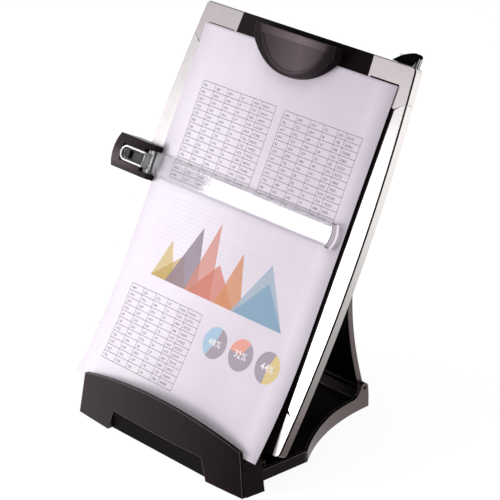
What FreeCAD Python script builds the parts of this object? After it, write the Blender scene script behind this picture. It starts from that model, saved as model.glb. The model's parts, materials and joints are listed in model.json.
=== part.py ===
import FreeCAD, Part
import math
import os
import re
import sys
from types import SimpleNamespace

import Sketcher

# Desktop document holder: a leaning panel on a low base with a drawer, propped by a rear leg.
# Millimetres, +Z up, +Y towards the back, +X to the right of someone who faces the panel.
# Base pieces are drawn with y counted from a datum line ahead of the base, panel pieces in
# the panel's own axes (x across, y up the slope, z out of the front face) and leg pieces in
# the leg's own axes (y from the foot pivot to the top rod). Placements carry them home.

SIZES = [
    # stance
    ("rest_depth", 106.0, "datum line to the middle foot, which is the origin"),
    ("panel_lean", 26.35, "lean of the panel back from upright, degrees"),
    ("panel_toe", 19.4, "datum line to where the panel's front plane meets the desk"),
    # panel frame
    ("panel_low", 39.3, "bottom edge, up the slope"),
    ("panel_length", 302.8, "bottom edge to top edge"),
    ("panel_half", 114.4, "half the width at the top and bottom edges"),
    ("panel_bow", 8.4, "bulge of each side edge at mid height"),
    ("corner_radius", 4.0, "rounding of the four corners"),
    ("rail_depth", 8.7, "depth of the side face"),
    ("rail_wall", 1.8, "side wall of the rails and caps"),
    ("rail_skin", 1.6, "front skin of the rails and caps"),
    ("strip_width", 5.8, "front strip at the corners"),
    ("cap_reach_top", 33.4, "top edge down to the inner end of the upper seam"),
    ("cap_reach_low", 34.5, "bottom edge up to the inner end of the lower seam"),
    ("seam_slope", 0.68, "slant of the seams"),
    ("seam_gap", 0.3, "gap at each seam"),
    ("groove_edge", 0.6, "front plane to the shadow groove round the side face"),
    ("groove_deep", 1.0, "shadow groove, depth"),
    ("groove_wide", 1.0, "shadow groove, width"),
    ("sheet_recess", 0.8, "black centre sheet below the strips"),
    ("sheet_wall", 2.0, "thickness of the centre sheet"),
    ("plate_wall", 1.5, "thickness of the middle plate"),
    ("fit_gap", 0.2, "assembly gap between fixed pieces"),
    ("running_gap", 0.3, "gap between pieces that move on each other"),
    ("bore_gap", 0.05, "radial gap of a shaft in a bore"),
    # memo board
    ("board_wall", 2.0, "thickness of the memo board"),
    ("board_width", 120.0, "across"),
    ("board_inset", 4.4, "its right edge in from the panel's corner"),
    ("board_height", 126.0, "bottom edge to top edge"),
    ("board_drop", 11.8, "its top edge below the panel's"),
    ("tab_inset", 1.0, "pull tab in from the board's right edge"),
    ("tab_width", 21.0, "pull tab, across"),
    ("grip_inset", 3.0, "grip fin in from the board's right edge"),
    ("grip_width", 23.0, "grip fin, across"),
    ("grip_rise", 10.2, "grip fin above the panel's top edge"),
    ("grip_depth", 6.0, "grip fin, front to back"),
    ("grip_slant", 4.0, "how far its right end leans"),
    # back cover
    ("cover_wall", 2.2, "thickness of the back cover"),
    ("cover_side", 14.4, "its sides in from the panel's corners"),
    ("cover_foot", 8.7, "its bottom edge above the panel's"),
    ("cover_drop", 4.1, "its top edge below the panel's"),
    ("rib_wall", 3.0, "width of its ribs"),
    ("boss_radius", 4.0, "screw bosses"),
    ("screw_radius", 1.3, "screw shanks"),
    ("head_radius", 2.8, "screw heads"),
    ("head_height", 1.2, "screw heads"),
    # panel hinge
    ("hinge_depth", 44.0, "datum line to the panel's hinge axis"),
    ("hinge_height", 14.0, "desk to the panel's hinge axis"),
    ("hinge_pin_radius", 2.2, "steel hinge pins"),
    ("lug_radius", 5.2, "knuckle of the panel's lugs"),
    ("lug_inset", 8.0, "platform's side to a lug"),
    ("lug_width", 11.2, "across"),
    ("lug_thick", 8.0, "of the lug's arm"),
    ("lug_reach", 46.5, "from the hinge axis up the back cover"),
    ("cheek_wall", 3.4, "cheeks that hold the hinge pins"),
    ("cheek_round", 4.8, "rounding over the cheeks"),
    # leg
    ("ear_depth", 190.5, "datum line to the leg's pivot axis"),
    ("ear_height", 18.4, "desk to the leg's pivot axis"),
    ("leg_rod_radius", 2.0, "steel rod through the ears"),
    ("leg_rest", 228.0, "where the leg's top rod rests, up the slope"),
    ("leg_clear", 1.5, "top barrel behind the back cover"),
    ("leg_wall", 5.0, "thickness of the leg's plate"),
    ("leg_side_gap", 0.4, "gap between the leg's foot and an ear"),
    ("leg_flare_top", 34.4, "how much wider each side is at the top than at the foot"),
    ("leg_flare_waist", 5.1, "how much wider each side is at the waist"),
    ("leg_waist_rise", 60.0, "height of the waist up the leg"),
    ("leg_side_start", 8.0, "where the side curve leaves the foot"),
    ("leg_side_end", 147.0, "where the side curve ends"),
    ("leg_barrel", 4.0, "radius of the foot barrel"),
    ("top_rod_radius", 2.5, "steel rod at the leg's top"),
    ("top_rod_reach", 4.0, "its end beyond a rack plate"),
    ("top_barrel", 4.5, "radius of the top barrel"),
    ("leg_panel_recess", 2.0, "depth of the hollow in the leg's rear face"),
    # racks
    ("rack_gap", 3.0, "leg's side to a rack plate"),
    ("rack_wall", 5.0, "thickness of a rack plate"),
    ("rack_travel", 41.0, "climb of the top rod as the panel leans back"),
    ("rack_margin", 6.0, "rack beyond each end of the slot"),
    ("rack_rise", 13.0, "rack plate behind the back cover"),
    ("slot_front_room", 1.1, "room in front of the rod in the slot"),
    ("slot_back_room", 0.5, "room behind the rod in the slot"),
    ("notch_count", 7, "scalloped rests along the slot"),
    # base
    ("foot_gap", 0.8, "desk to the underside of the base"),
    ("foot_radius", 6.0, "rubber feet"),
    ("foot_sunk", 0.8, "feet let into the base"),
    ("bar_rear", 38.0, "datum line to the rear of the front bar"),
    ("bar_inset", 0.6, "its front corners in from the fascia's foot"),
    ("bar_flare", 2.6, "how much wider each side is at the rear"),
    ("bar_wall", 2.4, "walls round its pockets"),
    ("bar_top", 31.5, "top of its rear wall"),
    ("bar_draft", 0.16, "inward lean of its sides, per millimetre of height"),
    ("tray_floor", 28.4, "ledge that a document stands on"),
    ("tray_rear", 34.6, "rear of the document channel"),
    ("fascia_front", 13.3, "datum line to the fascia's foot at the middle"),
    ("fascia_radius", 1197.0, "bow of the fascia in plan"),
    ("fascia_lean", 4.4, "backward lean of the fascia, degrees"),
    ("fascia_wall", 3.2, "thickness"),
    ("fascia_low_half", 97.2, "half the width at the foot"),
    ("fascia_top_half", 91.7, "half the width at the upper corners"),
    ("fascia_corner", 36.2, "height of the upper corners"),
    ("fascia_middle", 47.4, "height at the middle"),
    ("pull_low_half", 58.5, "drawer opening, half the width at the foot"),
    ("pull_top_half", 52.2, "drawer opening, half the width at the top"),
    ("pull_height", 18.5, "drawer opening, top above the desk"),
    ("arm_half", 86.6, "half the width of the platform's straight sides"),
    ("arm_end", 93.6, "datum line to where the sides turn in"),
    ("waist_half", 58.2, "half the width at the waist of the curve"),
    ("waist_depth", 147.6, "datum line to that point"),
    ("rear_half", 50.0, "half the width at the rear"),
    ("rear_margin", 4.7, "rear edge behind the leg's pivot axis"),
    ("floor_wall", 2.5, "platform floor"),
    ("rim_wall", 3.0, "platform rim"),
    ("arm_height", 10.0, "rim along the straight sides"),
    ("rim_height", 12.6, "rim at the waist"),
    ("ear_wall", 4.0, "thickness of an ear"),
    ("ear_radius", 4.0, "rounding over the ear"),
    ("ear_sweep", 0.8, "dip of the rim before the ear"),
    ("rear_wall_gap", 0.8, "top of the rear wall below the leg's foot barrel"),
    # drawer
    ("bay_half", 51.8, "half the clear width of the drawer bay"),
    ("bay_wall", 1.8, "walls of the bay cover"),
    ("bay_roof", 19.2, "clear height of the drawer bay above the desk"),
    ("bay_end", 98.0, "rear of the bay cover"),
    ("bay_flange", 5.0, "screwed flange of the bay cover"),
    ("runner_height", 0.5, "slide strips under the drawer"),
    ("drawer_side_gap", 0.5, "gap beside the tray"),
    ("drawer_wall", 1.6, "walls of the tray"),
    ("drawer_head_room", 1.8, "gap over the tray"),
    ("drawer_rear_room", 4.2, "gap behind the tray"),
    ("pull_foot", 19.0, "datum line to the foot of the drawer's face"),
    ("pull_head", 15.9, "datum line to the head of the drawer's face"),
    ("pull_back", 21.6, "datum line to the back of the drawer's face"),
    ("pull_gap", 0.4, "gap round the drawer's face"),
    # clip
    ("cap_width", 42.6, "corner cap along the top edge"),
    ("cap_splay", 2.4, "how much its inner end leans"),
    ("clip_half", 44.0, "half the width of the clip's lever"),
    ("clip_drop", 4.3, "top of the lever below the panel's top edge"),
    ("clip_height", 32.6, "top of the lever to its lowest point"),
    ("clip_shoulder", 10.0, "top of the lever to where its arc starts"),
    ("clip_axis_drop", 6.8, "lever's pin below its top"),
    ("clip_axis_out", 6.0, "lever's pin, out of the front plane"),
    ("clip_out_top", 15.0, "crest of the lever's face at its top, out of the front plane"),
    ("clip_out_low", 7.8, "that crest at its lowest point"),
    ("clip_crown", 2.6, "fall of the lever's face from its crest to its sides"),
    ("clip_back", 2.2, "back of the lever"),
    ("clip_skin", 2.2, "walls of the lever"),
    ("clip_top_relief", 3.4, "room behind the top of the lever"),
    ("clip_border", 4.4, "border below the recess in its face"),
    ("clip_recess_half", 33.4, "half the width of that recess"),
    ("clip_band", 6.4, "band above that recess"),
    ("clip_recess", 0.7, "depth of that recess"),
    ("clip_pin_radius", 1.2, "steel pin"),
    ("clip_lug_inner", 28.0, "centre line to a lug of the housing"),
    ("clip_lug_wall", 4.0, "thickness of that lug"),
    ("clip_lug_round", 2.6, "rounding over that lug"),
    ("clip_rib_wall", 3.0, "ribs of the lever that hold the pin"),
    ("spring_wall", 1.2, "coil spring round the pin, wire"),
    ("spring_half", 10.0, "coil spring, half its length"),
    ("pad_half", 24.0, "rubber pad, half the width"),
    ("pad_height", 5.0, "rubber pad, up the slope"),
    # slider and line guide
    ("slider_rise", 205.9, "middle of the slider, up the slope"),
    ("slider_height", 28.0, "along the slope"),
    ("slider_reach", 26.9, "its outer end beyond the panel's widest edge"),
    ("slider_hold", 8.0, "its front shell in from that edge"),
    ("yoke_hold", 16.6, "its hinge ears in from that edge"),
    ("slider_out", 12.5, "crown of the front shell, out of the front plane"),
    ("slider_crown", 3.0, "fall of the crown at the shell's edges"),
    ("slider_bow", 0.6, "bulge of the outer end"),
    ("slider_skin", 2.0, "walls of the shells"),
    ("slider_gap", 0.6, "gap between the slider and the bowed edge"),
    ("slider_split", -4.0, "joint line of the two shells, from the front plane"),
    ("slider_back_wall", 3.0, "back shell behind the rail"),
    ("ear_height_guide", 4.6, "hinge ears of the slider, along the slope"),
    ("guide_axis_hold", 12.8, "the line guide's pin in from the panel's widest edge"),
    ("guide_axis_out", 6.4, "the pin, out of the front plane"),
    ("guide_pin_radius", 1.0, "steel pin"),
    ("guide_barrel", 3.6, "radius of the guide's barrel"),
    ("guide_end_hold", 19.4, "the guide's free end in from that edge"),
    ("guide_height", 19.0, "along the slope"),
    ("guide_back", 1.9, "back of the guide's blade, out of the front plane"),
    ("guide_wall", 2.4, "thickness of the blade"),
    ("ridge_height", 0.8, "bevelled ridges along the blade, above its face"),
    ("ridge_bevel", 0.6, "their outer edges below its face"),
    ("ridge_narrow", 2.4, "lower ridge, width"),
    ("ridge_wide", 3.5, "upper ridge, width"),
    ("grip_band", 6.2, "raised band at the free end, across"),
    ("grip_bow", 1.8, "bulge of that band's inner side"),
    ("blade_bow", 3.0, "bulge of the free end"),
    ("tongue_reach", 16.4, "end of the press tongue beyond the panel's widest edge"),
    ("tongue_height", 12.6, "along the slope"),
    ("tongue_back", 10.6, "back of the tongue, out of the front plane"),
    ("tongue_wall", 3.0, "thickness of the tongue"),
    ("tongue_dish", 1.8, "depth of the dish in it"),
    ("tongue_rim", 2.6, "rim round the dish"),
    ("well_floor", 4.6, "floor of the well under the tongue"),
    ("well_gap", 0.7, "gap round the tongue"),
    ("block_reach", 7.7, "stop block's outer side beyond the panel's widest edge"),
    ("block_width", 9.0, "stop block, across"),
    ("block_height", 10.0, "stop block, along the slope"),
    ("block_rise", 3.9, "stop block above the well's floor"),
    # document
    ("paper_side", 3.6, "its sides in from the strips"),
    ("paper_wall", 0.8, "a few sheets together"),
    ("paper_drop", 16.7, "its top edge below the panel's"),
    ("paper_flat_end", 128.0, "where the sheet starts to come forward, up the slope"),
    ("paper_bend", 526.0, "radius of the forward bend"),
    ("paper_bend_length", 99.6, "length of the bent part"),
    ("paper_gap", 0.3, "sheet in front of the strips"),
]

doc = FreeCAD.newDocument("document_holder")
sheet = doc.addObject("Spreadsheet::Sheet", "Sizes")
for row, (alias, value, note) in enumerate(SIZES, start=1):
    sheet.set(f"A{row}", note)
    sheet.set(f"B{row}", str(value))
    sheet.setAlias(f"B{row}", alias)
doc.recompute()
size = SimpleNamespace(**{alias: float(sheet.get(alias)) for alias, value, note in SIZES})
ALIASES = {alias for alias, value, note in SIZES}

Vector = FreeCAD.Vector
X_AXIS = Vector(1, 0, 0)
Y_AXIS = Vector(0, 1, 0)
Z_AXIS = Vector(0, 0, 1)
FAR = 400.0           # reach of a cutting solid that has no size of its own
EPS = 1e-4
nodes = []


# --- helpers ------------------------------------------------------------------------------

def cells(text):
    """Turn plain names of sizes into references to the sheet."""
    return re.sub(r"[a-z_]+", lambda m: "Sizes." + m.group(0) if m.group(0) in ALIASES
                  else m.group(0), text)


def place_base(item):
    """Base pieces: the datum line goes ahead of the origin."""
    text = "placement(vector(0; -rest_depth; 0); rotation(vector(1; 0; 0); 0))"
    item.setExpression("Placement", cells(text))


def place_panel(item):
    """Panel pieces: up the slope from the toe."""
    text = "placement(vector(0; panel_toe - rest_depth; 0); rotation(vector(1; 0; 0); 90 - panel_lean))"
    item.setExpression("Placement", cells(text))


def node(item, label, place):
    """Give a finished object its node name and its place, and list it for export."""
    item.Label = label
    place(item)
    nodes.append(item)
    return item


def feature(label, shape, place):
    """A sub-part whose outline no primitive fits: the shape is worked out from the sheet."""
    item = doc.addObject("Part::Feature", label)
    item.Shape = shape.removeSplitter() if shape.ShapeType != "Compound" else shape
    return node(item, label, place)


def box(x0, x1, y0, y1, z0, z1):
    return Part.makeBox(x1 - x0, y1 - y0, z1 - z0, Vector(x0, y0, z0))


def both(shape):
    """The shape with its mirror image across the centre plane, as separate solids."""
    return Part.makeCompound([shape, shape.mirror(Vector(), X_AXIS)])


def mirrored(shape):
    return shape.mirror(Vector(), X_AXIS)


def rod(radius, x0, x1, y, z):
    """A round bar along x."""
    return Part.makeCylinder(radius, x1 - x0, Vector(x0, y, z), X_AXIS)


def upright(radius, x, y, z0, z1):
    return Part.makeCylinder(radius, z1 - z0, Vector(x, y, z0), Z_AXIS)


def polygon(points):
    vectors = [Vector(*point) for point in points]
    return Part.Face(Part.makePolygon(vectors + vectors[:1]))


def prism(points, z0, z1):
    """Extrude a plan outline from z0 to z1."""
    return polygon([(x, y, z0) for x, y in points]).extrude(Vector(0, 0, z1 - z0))


def side_prism(points, x0, x1):
    """Extrude a profile in the y-z plane from x0 to x1."""
    return polygon([(x0, y, z) for y, z in points]).extrude(Vector(x1 - x0, 0, 0))


def arc(start, middle, end):
    return Part.Arc(Vector(*start), Vector(*middle), Vector(*end)).toShape()


def line(start, end):
    return Part.makeLine(Vector(*start), Vector(*end))


def primitive_box(name, x, y, z):
    """A Part box whose sides are pairs of expressions, low and high."""
    item = doc.addObject("Part::Box", name)
    for axis, side, (low, high) in zip("xyz", ("Length", "Width", "Height"), (x, y, z)):
        item.setExpression(side, cells(f"({high}) - ({low})"))
        item.setExpression("Placement.Base." + axis, cells(low))
    return item


def primitive_cut(name, base, tool):
    item = doc.addObject("Part::Cut", name)
    item.Base = base
    item.Tool = tool
    return item


def primitive_fuse(name, shapes):
    item = doc.addObject("Part::MultiFuse", name)
    item.Shapes = shapes
    return item


def plane_of(body, role):
    return [item for item in body.Origin.OriginFeatures if item.Role == role][0]


def new_sketch(body, name, role="XY_Plane"):
    sketch = body.newObject("Sketcher::SketchObject", name)
    sketch.AttachmentSupport = [(plane_of(body, role), "")]
    sketch.MapMode = "FlatFace"
    return sketch


def bound(sketch, kind, geometry, point, text):
    """Tie one coordinate of a sketch point to the sheet."""
    value = {"DistanceX": 1.0, "DistanceY": 1.0}[kind]
    index = sketch.addConstraint(Sketcher.Constraint(kind, -1, 1, geometry, point, value))
    sketch.setExpression(f"Constraints[{index}]", cells(text))


def sketch_rectangle(sketch, left, right, low, high):
    """A rectangle whose four sides are expressions."""
    corners = [Vector(0, 0, 0), Vector(2, 0, 0), Vector(2, 2, 0), Vector(0, 2, 0)]
    first = sketch.GeometryCount
    for k in range(4):
        sketch.addGeometry(Part.LineSegment(corners[k], corners[(k + 1) % 4]), False)
    for k in range(4):
        joint = Sketcher.Constraint("Coincident", first + k, 2, first + (k + 1) % 4, 1)
        sketch.addConstraint(joint)
    for k in (0, 2):
        sketch.addConstraint(Sketcher.Constraint("Horizontal", first + k))
        sketch.addConstraint(Sketcher.Constraint("Vertical", first + k + 1))
    bound(sketch, "DistanceX", first, 1, left)
    bound(sketch, "DistanceX", first + 1, 1, right)
    bound(sketch, "DistanceY", first, 1, low)
    bound(sketch, "DistanceY", first + 2, 1, high)


def sketch_circle(sketch, radius):
    """A circle round the sketch's own origin."""
    index = sketch.addGeometry(Part.Circle(Vector(0, 0, 0), Z_AXIS, 1.0), False)
    sketch.addConstraint(Sketcher.Constraint("Coincident", -1, 1, index, 3))
    ring = sketch.addConstraint(Sketcher.Constraint("Radius", index, 1.0))
    sketch.setExpression(f"Constraints[{ring}]", cells(radius))


def pad(body, name, sketch, length, both_ways=False):
    item = body.newObject("PartDesign::Pad", name)
    item.Profile = sketch
    item.Midplane = both_ways
    item.setExpression("Length", cells(length))
    body.Tip = item
    return item


# --- worked-out places --------------------------------------------------------------------

lean = math.radians(size.panel_lean)
panel_high = size.panel_low + size.panel_length
panel_mid = size.panel_low + size.panel_length / 2
panel_edge = size.panel_half + size.panel_bow
strip_inner = size.panel_half - size.strip_width
seam_low = size.panel_low + size.cap_reach_low
seam_high = panel_high - size.cap_reach_top
sheet_front = -size.sheet_recess
sheet_back = sheet_front - size.sheet_wall
plate_back = -size.rail_depth
plate_front = plate_back + size.plate_wall
board_front = plate_back - size.running_gap
board_back = board_front - size.board_wall
cover_front = board_back - size.running_gap
cover_back = cover_front - size.cover_wall
cover_half = size.panel_half - size.cover_side
cover_low = size.panel_low + size.cover_foot
cover_high = panel_high - size.cover_drop
board_right = size.panel_half - size.board_inset
board_left = board_right - size.board_width
board_high = panel_high - size.board_drop
board_low = board_high - size.board_height
tab_right = board_right - size.tab_inset
tab_left = tab_right - size.tab_width
lug_inner = size.arm_half - size.lug_inset - size.lug_width
leg_foot_half = size.rear_half - size.ear_wall - size.leg_side_gap
leg_top_half = leg_foot_half + size.leg_flare_top
leg_out = cover_back - size.leg_clear - size.top_barrel
rack_inner = leg_top_half + size.rack_gap
rear_depth = size.ear_depth + size.rear_margin
bar_front_half = size.fascia_low_half - size.bar_inset
bar_half = bar_front_half + size.bar_flare
clip_high = panel_high - size.clip_drop
clip_low = clip_high - size.clip_height
clip_axis_rise = clip_high - size.clip_axis_drop
jaw_front = size.paper_gap + size.paper_wall + size.running_gap
slider_right = panel_edge - size.slider_hold
yoke_right = panel_edge - size.yoke_hold
guide_axis = panel_edge - size.guide_axis_hold
guide_right = panel_edge - size.guide_end_hold


def to_panel(depth, height):
    """Panel axes (up the slope, out of the front) of a point given by depth and height."""
    run = depth - size.panel_toe
    return (run * math.sin(lean) + height * math.cos(lean),
            -run * math.cos(lean) + height * math.sin(lean))


def from_panel(rise, out):
    """Depth and height of a point given in panel axes."""
    return (size.panel_toe + rise * math.sin(lean) - out * math.cos(lean),
            rise * math.cos(lean) + out * math.sin(lean))


hinge_rise, hinge_out = to_panel(size.hinge_depth, size.hinge_height)
rod_depth, rod_height = from_panel(size.leg_rest, leg_out)
leg_length = math.hypot(rod_depth - size.ear_depth, rod_height - size.ear_height)
leg_turn = math.degrees(math.atan2(rod_height - size.ear_height, rod_depth - size.ear_depth))


def place_leg(item):
    """Leg pieces: y runs from the ears' axis to the top rod."""
    home = Vector(0, size.ear_depth - size.rest_depth, size.ear_height)
    item.Placement = FreeCAD.Placement(home, FreeCAD.Rotation(X_AXIS, leg_turn))


# --- panel frame --------------------------------------------------------------------------

def panel_block(inset, back, front):
    """The barrel-sided outline of the panel, drawn in by inset, from back to front."""
    half = size.panel_half - inset
    low = size.panel_low + inset
    high = panel_high - inset
    bulge = half + size.panel_bow
    edges = [line((-half, low, back), (half, low, back)),
             arc((half, low, back), (bulge, panel_mid, back), (half, high, back)),
             line((half, high, back), (-half, high, back)),
             arc((-half, high, back), (-bulge, panel_mid, back), (-half, low, back))]
    solid = Part.Face(Part.Wire(edges)).extrude(Vector(0, 0, front - back))
    radius = max(size.corner_radius - inset, 0.5)
    corners = [edge for edge in solid.Edges if len(edge.Vertexes) == 2
               and abs(edge.Vertexes[0].X - edge.Vertexes[1].X) < EPS
               and abs(edge.Vertexes[0].Y - edge.Vertexes[1].Y) < EPS]
    return solid.makeFillet(radius, corners)


def housing_outline(gap, overshoot=0.0):
    """Splayed outline of the clip housing, drawn in by gap."""
    low, high = seam_high + gap, panel_high + overshoot
    half_top = size.panel_half - size.cap_width - gap
    half_low = half_top + size.cap_splay
    return [(-half_low, low), (half_low, low), (half_top, high), (-half_top, high)]


def frame_ring():
    """Side strips and top band in one, as a hollow tray open at the back."""
    ring = panel_block(0, -size.rail_depth, 0)
    ring = ring.cut(panel_block(size.rail_wall, -size.rail_depth - 1, -size.rail_skin))
    window = box(-strip_inner, strip_inner, -FAR, seam_high, -FAR, FAR)
    groove_front = -size.groove_edge
    groove_back = groove_front - size.groove_wide
    groove = panel_block(-1, groove_back, groove_front)
    groove = groove.cut(panel_block(size.groove_deep, groove_back, groove_front))
    ring = ring.cut([window, groove, prism(housing_outline(0, size.rail_wall), -FAR, FAR)])
    return ring


def cap_region(upper, gap):
    """The right-hand corner beyond a slanted seam, as a cutting solid."""
    run = FAR - strip_inner
    if upper:
        edge = seam_high + gap
        points = [(0, edge), (strip_inner, edge),
                  (FAR, edge + run * size.seam_slope), (FAR, 3 * FAR), (0, 3 * FAR)]
    else:
        edge = seam_low - gap
        points = [(0, edge), (strip_inner, edge),
                  (FAR, edge - run * size.seam_slope), (FAR, -FAR), (0, -FAR)]
    return prism(points, -FAR, FAR)


def make_frame():
    ring = frame_ring()
    right = ring.common(box(0, FAR, -FAR, 2 * FAR, -FAR, FAR))
    rail = right.cut([cap_region(True, 0), cap_region(False, 0)])
    upper = right.common(cap_region(True, size.seam_gap))
    lower = right.common(cap_region(False, size.seam_gap))
    for name, shape in (("side_rail", rail), ("top_corner_cap", upper), ("low_corner_cap", lower)):
        feature("right_" + name, shape, place_panel)
        feature("left_" + name, mirrored(shape), place_panel)


def make_centre_sheet():
    """Black sheet with a wall round its edge that stands on the middle plate."""
    half = strip_inner - size.fit_gap
    low = size.panel_low
    high = seam_high - size.fit_gap
    inner = half - size.sheet_wall
    shape = box(-half, half, low, high, plate_front, sheet_front)
    hollow = box(-inner, inner, low + size.sheet_wall, high - size.sheet_wall, plate_front, sheet_back)
    bosses = [upright(size.boss_radius, x, y, plate_front, sheet_back) for x, y in screw_places()]
    shape = shape.cut(hollow)
    shape = shape.fuse([boss.common(box(-half, half, low, high, -FAR, FAR)) for boss in bosses])
    pilots = [upright(size.screw_radius, x, y, plate_front - 1, sheet_back - 1) for x, y in screw_places()]
    feature("centre_sheet", shape.cut(pilots), place_panel)


def screw_places():
    """Screws of the back cover, clear of the memo board's path."""
    side = cover_half - size.boss_radius - size.rib_wall / 2
    low = cover_low + size.boss_radius + size.rib_wall / 2
    high = seam_high - size.boss_radius - size.rib_wall
    below_board = board_low - size.boss_radius - 2 * size.rib_wall
    return [(-side, low), (side, low), (-side, below_board), (side, below_board), (-side, high)]


def make_middle_plate():
    """Plate inside the rails, which closes the frame and backs the memo board's slot."""
    shape = panel_block(size.rail_wall + size.fit_gap / 2, plate_back, plate_front)
    holes = [upright(size.screw_radius + size.bore_gap, x, y, plate_back - 1, plate_front + 1)
             for x, y in screw_places()]
    feature("middle_plate", shape.cut(holes), place_panel)


def make_clip_housing():
    """Black bar at the top, with two lugs for the lever's pin and a hollow back."""
    body = prism(housing_outline(size.fit_gap), plate_front, 0)
    shrink = size.fit_gap + size.rail_wall
    hollow = prism(housing_outline(shrink, -shrink), plate_front - 1, -size.rail_skin)
    body = body.cut(hollow)
    y, z, radius = clip_axis_rise, size.clip_axis_out, size.clip_lug_round
    for x in (size.clip_lug_inner, -size.clip_lug_inner - size.clip_lug_wall):
        lug = box(x, x + size.clip_lug_wall, y - radius, y + radius, -size.rail_skin, z)
        body = body.fuse(lug.fuse(rod(radius, x, x + size.clip_lug_wall, y, z)))
    body = body.cut(rod(size.clip_pin_radius + size.bore_gap, -FAR, FAR, y, z))
    feature("clip_housing", body, place_panel)


def make_back_cover():
    """Cover with ribs that stand on the frame, and the two hinge lugs below."""
    half, rib, low, high = cover_half, size.rib_wall, cover_low, cover_high
    shape = box(-half, half, low, high, cover_back, cover_front)
    slot_low, slot_high = board_low - size.running_gap, board_high + size.running_gap
    top_end = tab_left - 2 * rib
    outlines = [(-half, -half + rib, low, high), (half - rib, half, low, slot_low),
                (-half, half, low, low + rib), (-half, top_end, high - rib, high),
                (board_left - rib, half, slot_low - rib, slot_low),
                (board_left - 2 * rib, top_end, slot_high, slot_high + rib),
                (board_left - 2 * rib, board_left - rib, slot_low - rib, slot_high + rib)]
    ribs = [box(*outline, cover_front, plate_back) for outline in outlines]
    ribs += [upright(size.boss_radius, x, y, cover_front, plate_back) for x, y in screw_places()]
    shape = shape.fuse(ribs)
    for x in (lug_inner, -lug_inner - size.lug_width):
        arm = box(x, x + size.lug_width, hinge_rise, hinge_rise + size.lug_reach,
                  hinge_out - size.lug_thick / 2, hinge_out + size.lug_thick / 2)
        knuckle = rod(size.lug_radius, x, x + size.lug_width, hinge_rise, hinge_out)
        shape = shape.fuse([arm, knuckle])
    shape = shape.cut(rod(size.hinge_pin_radius + size.bore_gap, -FAR, FAR, hinge_rise, hinge_out))
    holes = [upright(size.screw_radius + size.bore_gap, x, y, cover_back - 1, plate_back + 1)
             for x, y in screw_places()]
    feature("back_cover", shape.cut(holes), place_panel)


def make_cover_screws():
    shapes = []
    for x, y in screw_places():
        head = upright(size.head_radius, x, y, cover_back - size.head_height, cover_back)
        shapes.append(head.fuse(upright(size.screw_radius, x, y, cover_back, sheet_back - 1)))
    feature("cover_screws", Part.makeCompound(shapes), place_panel)


def make_racks():
    """Scalloped plates that the leg's top rod rides in, one each side."""
    end_room = size.top_rod_radius + size.running_gap
    low, high = size.leg_rest - end_room, size.leg_rest + size.rack_travel + end_room
    front = leg_out + size.top_rod_radius + size.slot_front_room
    back = leg_out - size.top_rod_radius - size.slot_back_room
    plate = box(rack_inner, rack_inner + size.rack_wall, low - size.rack_margin,
                high + size.rack_margin, cover_back - size.rack_rise, cover_back)
    slot = box(0, FAR, low, high, back, front)
    count = int(size.notch_count)
    pitch = size.rack_travel / (count - 1)
    scallop_out = leg_out + size.slot_front_room + size.slot_back_room
    scallops = [rod(size.top_rod_radius, 0, FAR, size.leg_rest + k * pitch, scallop_out)
                for k in range(count)]
    shape = plate.cut([slot] + scallops)
    feature("right_leg_rack", shape, place_panel)
    feature("left_leg_rack", mirrored(shape), place_panel)


# --- document, clip -----------------------------------------------------------------------

def make_document():
    """A few sheets: flat under the clip, then bending forward towards the ledge."""
    half = strip_inner - size.paper_side
    top = panel_high - size.paper_drop
    back = size.paper_gap
    front = back + size.paper_wall
    turn = size.paper_bend_length / size.paper_bend
    centre = size.paper_bend + (front + back) / 2

    def on_arc(share, radius):
        angle = turn * share
        return (-half, size.paper_flat_end - radius * math.sin(angle), centre - radius * math.cos(angle))

    outer = size.paper_bend + size.paper_wall / 2
    inner = size.paper_bend - size.paper_wall / 2
    edges = [line((-half, top, back), on_arc(0, outer)),
             arc(on_arc(0, outer), on_arc(0.5, outer), on_arc(1, outer)),
             line(on_arc(1, outer), on_arc(1, inner)),
             arc(on_arc(1, inner), on_arc(0.5, inner), on_arc(0, inner)),
             line(on_arc(0, inner), (-half, top, front)),
             line((-half, top, front), (-half, top, back))]
    shape = Part.Face(Part.Wire(edges)).extrude(Vector(2 * half, 0, 0))
    feature("sample_document", shape, place_panel)


def clip_outline(inset):
    """D-shaped block of the lever: straight top and sides, one arc below."""
    half, top, low = size.clip_half - inset, clip_high - inset, clip_low + inset
    shoulder = clip_high - size.clip_shoulder
    edges = [line((-half, top, 0), (-half, shoulder, 0)),
             arc((-half, shoulder, 0), (0, low, 0), (half, shoulder, 0)),
             line((half, shoulder, 0), (half, top, 0)), line((half, top, 0), (-half, top, 0))]
    return Part.Face(Part.Wire(edges)).extrude(Vector(0, 0, 2 * size.clip_out_top))


def clip_recess_outline():
    """D-shaped block of the recess in the lever's face: one straight line and one arc."""
    half, top, low = size.clip_recess_half, clip_high - size.clip_band, clip_low + size.clip_border
    edges = [arc((-half, top, 0), (0, low, 0), (half, top, 0)), line((half, top, 0), (-half, top, 0))]
    return Part.Face(Part.Wire(edges)).extrude(Vector(0, 0, 2 * size.clip_out_top))


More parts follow.
